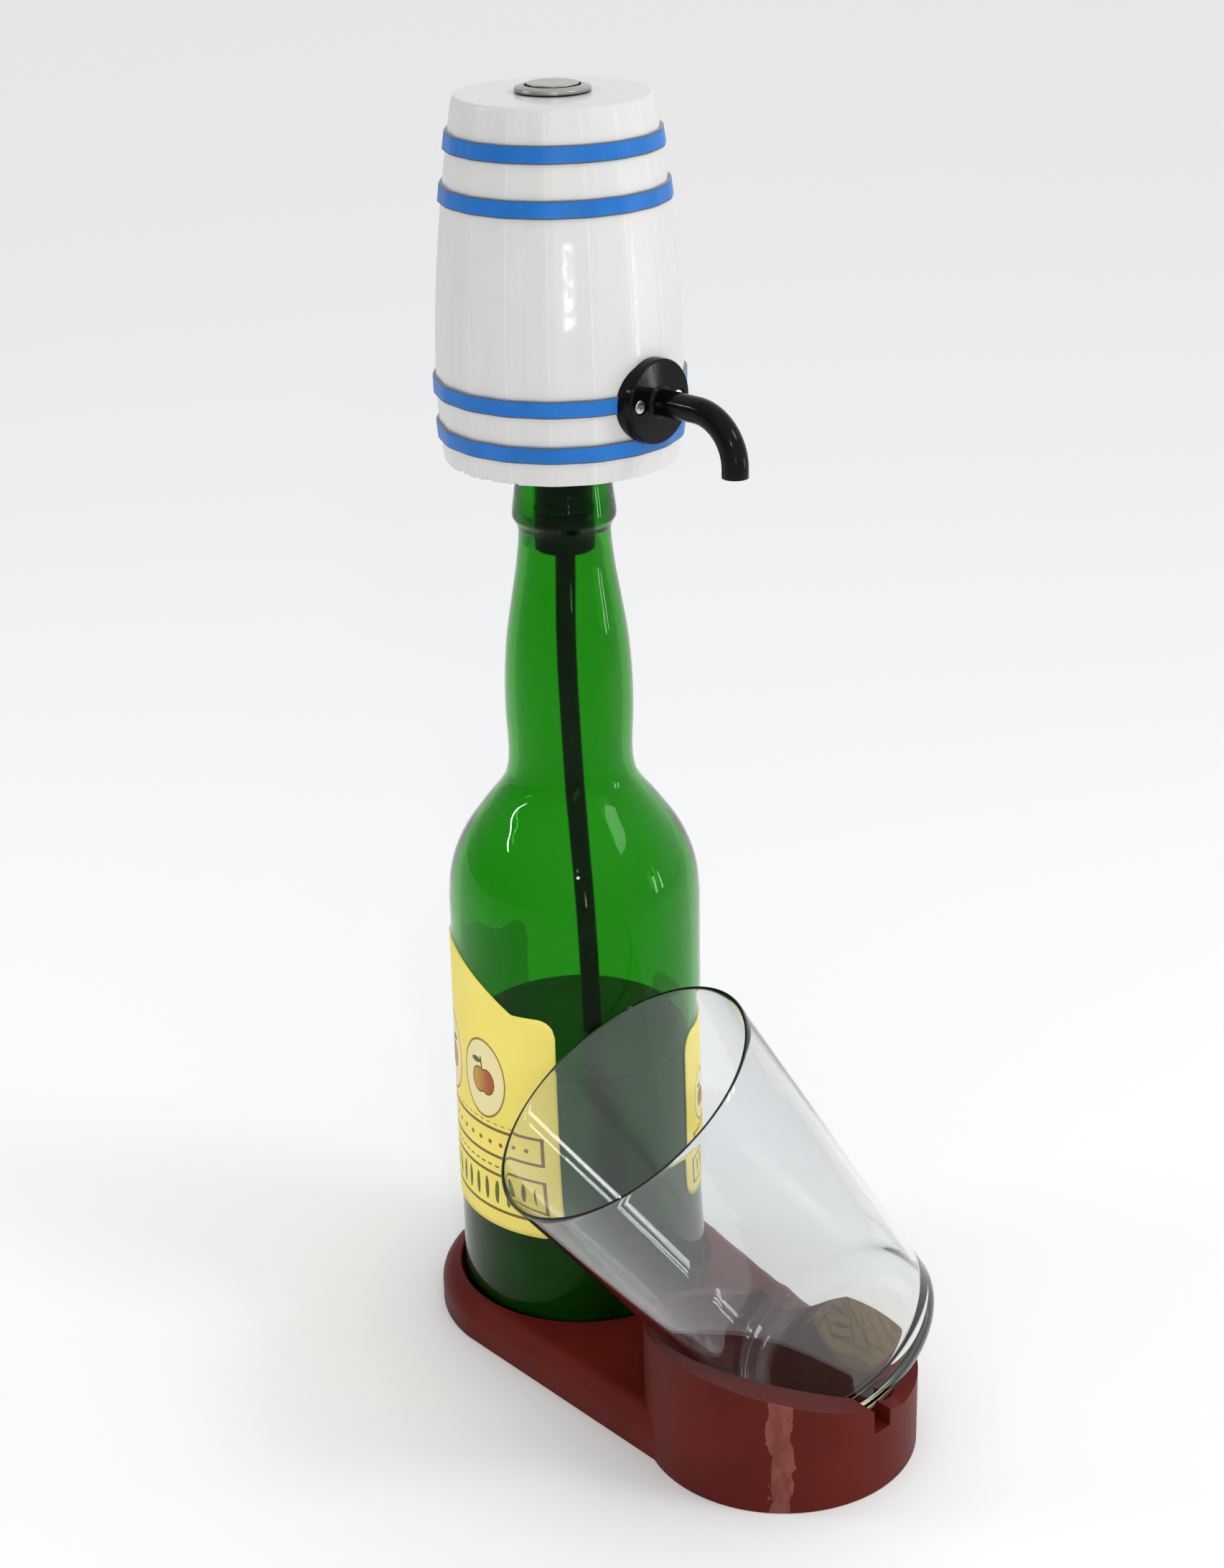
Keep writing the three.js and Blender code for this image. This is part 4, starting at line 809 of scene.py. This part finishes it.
def corner(share, half):
    """How far a label's rounded corner cuts in, at a share of its half width."""
    inset = max(0.0, LABEL_CORNER_R - half * (1 - abs(share)))
    return LABEL_CORNER_R - math.sqrt(max(0.0, LABEL_CORNER_R ** 2 - inset ** 2))


def make_labels():
    half, back = LABEL_ARC / 2, BACK_ARC / 2

    def front_top(share):
        rise = LABEL_RISE * (1 - min(1, abs(share) / 0.71) ** 1.6)
        return LABEL_SHOULDER + rise - corner(share, half)

    front_paper = label_paper("front_paper", half, LABEL_SHOULDER - LABEL_LOW + LABEL_RISE, 23)
    wrapped_label(
        "front_label_paper", front_paper, LABEL_ARC, LABEL_MIDDLE,
        lambda share: LABEL_LOW + corner(share, half), front_top, "front_label", 120, 40)
    back_paper = label_paper("back_paper", back, BACK_TOP - BACK_LOW, 15)
    wrapped_label(
        "back_label_paper", back_paper, BACK_ARC, LABEL_MIDDLE + 180,
        lambda share: BACK_LOW + corner(share, back),
        lambda share: BACK_TOP - corner(share, back), "back_label", 80, 24)


def make_glass():
    inner_r, rim_r = GLASS_BASE_R - GLASS_BASE_WALL, GLASS_RIM_R - GLASS_RIM_WALL
    edge_r, heel_r, low = GLASS_RIM_EDGE_R, GLASS_INNER_HEEL_R, 18
    lean = (rim_r - inner_r) / (GLASS_L - low)
    wall = [(inner_r + lean * (h - low), h) for h in (GLASS_L - 2.5, low + 2)]
    inside = [
        *arc(GLASS_RIM_R - GLASS_SHRINK - edge_r, GLASS_L - edge_r, edge_r, 0, 180, 10), *wall,
        *arc(inner_r - heel_r, GLASS_FLOOR + heel_r, heel_r, 0, -90, 14),
        (8, GLASS_FLOOR), (0, GLASS_FLOOR),
    ]
    outside = glass_outline(-GLASS_SHRINK, GLASS_L - edge_r)
    bm = moved(turned(outside[:-1] + inside, 192), glass_place())
    piece(bm, "glass_wall", clear, "glass", 60, ["cider_glass"])


# Head
barrel_line = smooth_line([(r * BARREL_R, BARREL_Z + h * BARREL_H) for h, r in BARREL_SIDE], 4)


def staved(points, edge):
    """A solid with a side of staves, from (radius, height) points, its corners rounded by edge."""
    bm = turned([(0, points[0][1]), *points, (0, points[-1][1])], STAVES, stave_start)
    bmesh.ops.dissolve_verts(bm, verts=[v for v in bm.verts if v.co.xy.length < LEVEL])
    if edge:
        upright = [e for e in bm.edges if abs(e.verts[0].co.z - e.verts[1].co.z) > 0.3]
        rounded(bm, upright, edge, 4)
    return bm


def chips():
    """Small bites out of the barrel's lower edge, at the left of the front."""
    bm = bmesh.new()
    for i in range(13):
        angle = math.radians(-138 + 5.9 * i + 1.6 * math.sin(i * 5.1))
        size = 1.15 + 0.45 * math.sin(i * 2.3)
        grown = bmesh.ops.create_icosphere(bm, subdivisions=1, radius=size)["verts"]
        bmesh.ops.scale(bm, vec=(1.2, 1, 0.8), verts=grown)
        bmesh.ops.translate(
            bm, vec=(35 * math.cos(angle), 35 * math.sin(angle), BARREL_Z - 0.1), verts=grown)
    return bm


def make_barrel():
    bm = staved(barrel_line, STAVE_EDGE)
    rounded(bm, edges_at(bm, PANEL_Z), BARREL_EDGE_R, 4)
    inner = [(r - BARREL_WALL, z) for r, z in barrel_line if z < PANEL_Z - BARREL_TOP]
    inner = [(inner[0][0], BARREL_Z - 4), *inner, (inner[-1][0], PANEL_Z - BARREL_TOP)]
    bm = combined(bm, staved(inner, 0))
    bm = combined(bm, chips())
    bm = combined(bm, along_x(rod(SPOUT_HOLE_R, 20, 60), z=SPOUT_Z))
    for side in SPOUT_SCREWS_Y:
        bm = combined(bm, along_x(rod(SCREW_HOLE_R, 20, 60), side, SPOUT_Z))
    bm = combined(bm, rod(BUTTON_HOLE_R, PANEL_Z - OVERRUN, PANEL_Z + OVERRUN, 64))
    bm = combined(bm, box(SOCKET_SLOT, SOCKET_PLACE))
    even_normals(piece(
        moved(bm, head_turn), "barrel_skin", white, "head", 12, ["barrel_shell"]))


def make_hoops():
    for i, low in enumerate(HOOP_LOWS):
        low_r, high_r = (radius_at(barrel_line, z) for z in (low, low + HOOP_H))
        bm = staved([(low_r + HOOP_PROUD, low), (high_r + HOOP_PROUD, low + HOOP_H)], STAVE_EDGE)
        rounded(bm, [e for e in bm.edges if e.calc_face_angle() > math.radians(60)], 0.15, 2)
        lean = (high_r - low_r) / HOOP_H
        bm = combined(bm, staved(
            [(low_r + 0.1 - lean, low - 1), (high_r + 0.1 + lean, low + HOOP_H + 1)], STAVE_EDGE))
        bm = combined(bm, along_x(rod(SPOUT_FLANGE_R + 0.2, 0, 60, 96), z=SPOUT_Z))
        node = f"hoop_{i + 1}"
        piece(moved(bm, head_turn), f"{node}_band", hoop_blue(f"hoop_blue_{i + 1}", low), "head", 12,
              [node])


def make_spout():
    face, flange_r, edge_r, foot_r = SPOUT_FACE_X, SPOUT_FLANGE_R, 0.7, 5.2
    flange = along_x(turned([
        (0, 31), (flange_r - 0.5, 31), (flange_r, 31.5), (flange_r, face - edge_r),
        *arc(flange_r - edge_r, face - edge_r, edge_r, 0, 90, 5), (foot_r, face),
        *arc(foot_r, face + 1.3, 1.3, 270, 180, 6), (0, face + 1.3),
    ], 96), z=SPOUT_Z)
    skin = [(r + 0.15, z) for r, z in barrel_line]
    bm = combined(flange, turned([(0, BARREL_Z), *skin, (0, PANEL_Z)], STAVES, stave_start))
    for side in SPOUT_SCREWS_Y:
        pocket = rod(SPOUT_SCREW_POCKET_R, face - 1.4, 60, 40)
        bm = combined(bm, along_x(pocket, side, SPOUT_Z))
    bend_x, bend_z = SPOUT_REACH - SPOUT_BEND_R, SPOUT_Z - SPOUT_BEND_R
    bend = [(x, 0, z) for x, z in arc(bend_x, bend_z, SPOUT_BEND_R, 90, 0, 24)]
    centre = [(36, 0, SPOUT_Z), (face + 8, 0, SPOUT_Z), *bend, (SPOUT_REACH, 0, SPOUT_TIP_Z)]
    bm = combined(bm, tube_along(centre, SPOUT_TUBE_R, 40), "UNION")
    bore = [(face + 12, 0, SPOUT_Z), *bend, (SPOUT_REACH, 0, SPOUT_TIP_Z - 6)]
    bm = combined(bm, tube_along(bore, SPOUT_BORE_R, 32))
    rounded(bm, edges_at(bm, SPOUT_TIP_Z), 0.25, 2)
    for radius, low, high in ((4, 20, 38), (2, 16, 28)):
        bm = combined(bm, along_x(rod(radius, low, high), z=SPOUT_Z), "UNION")
    piece(moved(bm, head_turn), "spout_tube", spout_black, "head", 28, ["spout"])


def make_spout_screws():
    """Pan heads with a cross recess, in the two pockets of the flange."""
    for i, side in enumerate(SPOUT_SCREWS_Y):
        screw = turned([
            (0, -1.1), (2, -1.1), (2.05, -0.5), *arc(1.65, -0.35, 0.4, 0, 80, 4), (0.9, 0.12), (0, 0.15),
        ], 48)
        for size in ((0.42, 2.1, 1.2), (2.1, 0.42, 1.2)):
            screw = combined(screw, box(size, (0, 0, 0)))
        along_x(screw, side, SPOUT_Z)
        bmesh.ops.translate(screw, vec=(SPOUT_FACE_X - 0.25, 0, 0), verts=screw.verts)
        piece(moved(screw, head_turn), f"spout_screw_head_{i + 1}", steel, "head", 30,
              [f"spout_screw_{i + 1}"])


def make_button():
    """The ring with its thread through the panel, and the cap that goes down in it."""
    base, low, edge_r = PANEL_Z + GAP, PANEL_Z - 10, 0.3
    bezel = turned([
        (BUTTON_BORE_R, low), (BUTTON_THREAD_R, low), (BUTTON_THREAD_R, base),
        (BUTTON_RING_R - 0.1, base), (BUTTON_RING_R, base + 0.1), (BUTTON_RING_R, base + 0.9),
        *arc(BUTTON_RING_R - edge_r, base + 0.95, edge_r, 0, 60, 3), (9.3, base + 1.65),
        (8.35, base + 1.85), (BUTTON_BORE_R, base + 1.7),
    ], 128)
    piece(bezel, "button_ring", ring_steel, "head", 32, ["button_bezel"])
    top, stem_r = base + 2.3, 2
    skirt_z, foot_z = top - 4.6, top - 10.2
    cap = turned([
        (0, foot_z), (stem_r, foot_z), (stem_r, skirt_z), (BUTTON_CAP_R, skirt_z),
        (BUTTON_CAP_R, top - 0.35), *arc(BUTTON_CAP_R - edge_r, top - edge_r, edge_r, 0, 90, 4),
        (5, top - 0.03), (0, top - 0.1),
    ], 128)
    piece(cap, "button_top", ring_steel, "button", 32, ["button_cap"])


def make_spring():
    """The button's return spring, as a fixed coil; the real spring flattens as the button goes down."""
    low, high, turns, steps = 389.65, 393.85, 4, 24
    points = []
    for i in range(turns * steps + 1):
        angle = i * TURN / steps
        rise = (high - low) * i / (turns * steps)
        points.append((3.6 * math.cos(angle), 3.6 * math.sin(angle), low + rise))
    made = piece(tube_along(points, 0.35, 12), "button_spring_wire", steel, "head", 40,
                 ["button_spring"])
    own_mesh(made)


def make_stopper():
    """The plug in the bottle's neck, hollow for the dip tube, and its two seal rings."""
    low, shoulder, spigot_z, tail_z, socket_z = 261.6, 292.3, 299.6, 306, 280.6
    grooves = []
    for z in (273.8, 282.8):
        grooves += [
            (STOPPER_R, z), (STOPPER_GROOVE_R, z), (STOPPER_GROOVE_R, z + 3), (STOPPER_R, z + 3)]
    bm = turned([
        (TUBE_R + GAP, low), (8, low), (STOPPER_R, low + 1), *grooves, (STOPPER_R, shoulder),
        (SPIGOT_R, shoulder), (SPIGOT_R, spigot_z), (TAIL_R, spigot_z), (TAIL_R, tail_z),
        (TAIL_BORE_R, tail_z), (TAIL_BORE_R, socket_z), (TUBE_R + GAP, socket_z),
    ], 96)
    piece(bm, "stopper_plug", black, "head", 30, ["stopper"])
    for i, z in enumerate(SEALS_Z):
        ring = turned(arc(SEAL_RING_R, z, SEAL_R, 0, 345, 23), 96)
        piece(ring, f"seal_ring_{i + 1}", seal_rubber, "neck_seals", 60, [f"stopper_seal_{i + 1}"])


def make_dip_tube():
    """The tube from the stopper down into the cider, with the bow that it has in the bottle."""
    top, foot = 280.3, 20
    shares = [
        (0, 0), (0.08, 0), (0.2, -0.07), (0.35, 0.13), (0.45, 0.35), (0.53, 0.55),
        (0.62, 0.7), (0.75, 0.87), (0.9, 0.98), (1, 1),
    ]
    angle = math.radians(TUBE_BOW_ANGLE)
    points = [
        (out * TUBE_BOW * math.cos(angle), out * TUBE_BOW * math.sin(angle), top - down * (top - foot))
        for down, out in smooth_line(shares, 8)
    ]
    bm = moved(tube_along(points, TUBE_R, 32, TUBE_BORE_R), head_turn)
    piece(bm, "dip_tube_wall", tube_black, "head", 40, ["dip_tube"])


# The pieces that the part's own solids show well enough, with the finish of each
INNER = {
    "bottom_cover": white, "cover_screw_1": steel, "cover_screw_2": steel, "cover_screw_3": steel,
    "stopper_nut": black, "inlet_hose": silicone, "pump_body": pump_grey, "pump_cover": pump_grey,
    "pump_screw_1": steel, "pump_screw_2": steel, "pump_screw_3": steel, "pump_screw_4": steel,
    "shaft_seal": seal_rubber, "drive_gear": pump_grey, "driven_gear": pump_grey,
    "idler_pin": steel, "motor_can": can_steel, "motor_magnet_1": magnet_grey,
    "motor_magnet_2": magnet_grey, "motor_end_cap": black, "motor_bush_1": brass,
    "motor_bush_2": brass, "motor_shaft": steel, "armature": copper, "outlet_hose": silicone,
    "battery_cradle": black, "battery_cell": cell_wrap, "circuit_board": board_green,
    "charging_socket": steel, "button_nut": steel, "switch_body": black,
    "switch_terminal_1": brass, "switch_terminal_2": brass,
}

make_stand()
make_bottle()
make_cider()
make_labels()
make_glass()
make_barrel()
make_hoops()
make_spout()
make_spout_screws()
make_button()
make_spring()
make_stopper()
make_dip_tube()
for node, finish in INNER.items():
    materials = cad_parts[node].data.materials
    materials.clear()
    materials.append(finish)


# Studio
def make_floor():
    """A wide white floor just under the stand."""
    bm = bmesh.new()
    bmesh.ops.create_grid(bm, x_segments=1, y_segments=1, size=9)
    bmesh.ops.translate(bm, vec=(0, 0, -0.0002), verts=bm.verts)
    mesh = bpy.data.meshes.new("floor")
    bm.to_mesh(mesh)
    bm.free()
    floor = bpy.data.objects.new("floor", mesh)
    bpy.context.scene.collection.objects.link(floor)
    finish = Finish("floor_white", (0.96, 0.96, 0.96), 0.9, Specular_IOR_Level=0.1)
    mesh.materials.append(finish.material)


def lamp(name, place, target, size, power, shape="RECTANGLE"):
    """An area lamp that faces a target, with sizes in metres and power in watts."""
    light = bpy.data.lights.new(name, "AREA")
    light.shape = shape
    light.size, light.size_y = size
    light.energy = power
    made = bpy.data.objects.new(name, light)
    bpy.context.scene.collection.objects.link(made)
    made.location = place
    made.rotation_mode = "QUATERNION"
    made.rotation_quaternion = (Vector(target) - Vector(place)).to_track_quat("-Z", "Y")


def make_studio():
    """The floor, a sky that is darker at the left of the photo's view, and the lamps."""
    make_floor()
    world = bpy.data.worlds.new("studio")
    world.use_nodes = True
    bpy.context.scene.world = world
    tree = world.node_tree
    sky = tree.nodes["Background"]
    sky.inputs["Strength"].default_value = 1.0
    way = tree.nodes.new("ShaderNodeTexCoord")
    side = tree.nodes.new("ShaderNodeVectorMath")
    side.operation = "DOT_PRODUCT"
    side.inputs[1].default_value = (0.6, 0.8, 0)
    tone = tree.nodes.new("ShaderNodeValToRGB")
    tone.color_ramp.elements[0].color = (0.24, 0.243, 0.25, 1)
    tone.color_ramp.elements[1].color = (0.985, 0.99, 1, 1)
    share = tree.nodes.new("ShaderNodeMapRange")
    share.inputs["From Min"].default_value = -1
    share.inputs["From Max"].default_value = 0.03
    tree.links.new(way.outputs["Generated"], side.inputs[0])
    tree.links.new(side.outputs["Value"], share.inputs["Value"])
    tree.links.new(share.outputs[0], tone.inputs[0])
    tree.links.new(tone.outputs[0], sky.inputs["Color"])
    middle = (0.03, 0, 0.2)
    lamp("key", (0.9, 0.55, 1.15), middle, (0.35, 0.3), 3.2)
    lamp("near_dot", (0.72, -0.44, 0.66), (0, 0, 0.24), (0.045, 0.045), 0.8, "DISK")
    lamp("near_strip", (0.72, -0.345, 0.3), (0, 0, 0.345), (0.014, 0.12), 0.13)
    lamp("right_strip_1", (0.664, 0.617, 0.225), (0.09, -0.01, 0.08), (0.045, 0.18), 0.4)
    lamp("right_strip_2", (0.585, 0.7, 0.225), (0.09, -0.01, 0.08), (0.03, 0.18), 0.27)
    lamp("spout_strip", (-0.515, -0.718, 0.702), (0.055, 0.005, 0.315), (0.3, 0.014), 1.4)


def make_camera():
    """The photo's camera, from its focal length and height in pixels and its fitted place."""
    view = bpy.data.cameras.new("camera")
    sensor, focal_px, photo_height_px = 36, 3887.78, 2184
    view.sensor_width = sensor
    view.lens = focal_px / photo_height_px * sensor
    view.clip_start, view.clip_end = 0.01, 100
    made = bpy.data.objects.new("camera", view)
    bpy.context.scene.collection.objects.link(made)
    right = Vector((0.6009, 0.7991, -0.0195)).normalized()
    ahead = Vector((-0.741, 0.5477, -0.3886)).normalized()
    up = right.cross(ahead).normalized()
    turn = Matrix((right, up, -ahead)).transposed().to_4x4()
    made.matrix_world = Matrix.Translation((0.65304, -0.46702, 0.52235)) @ turn
    bpy.context.scene.camera = made


make_studio()
make_camera()
bpy.context.scene.view_settings.view_transform = "Standard"
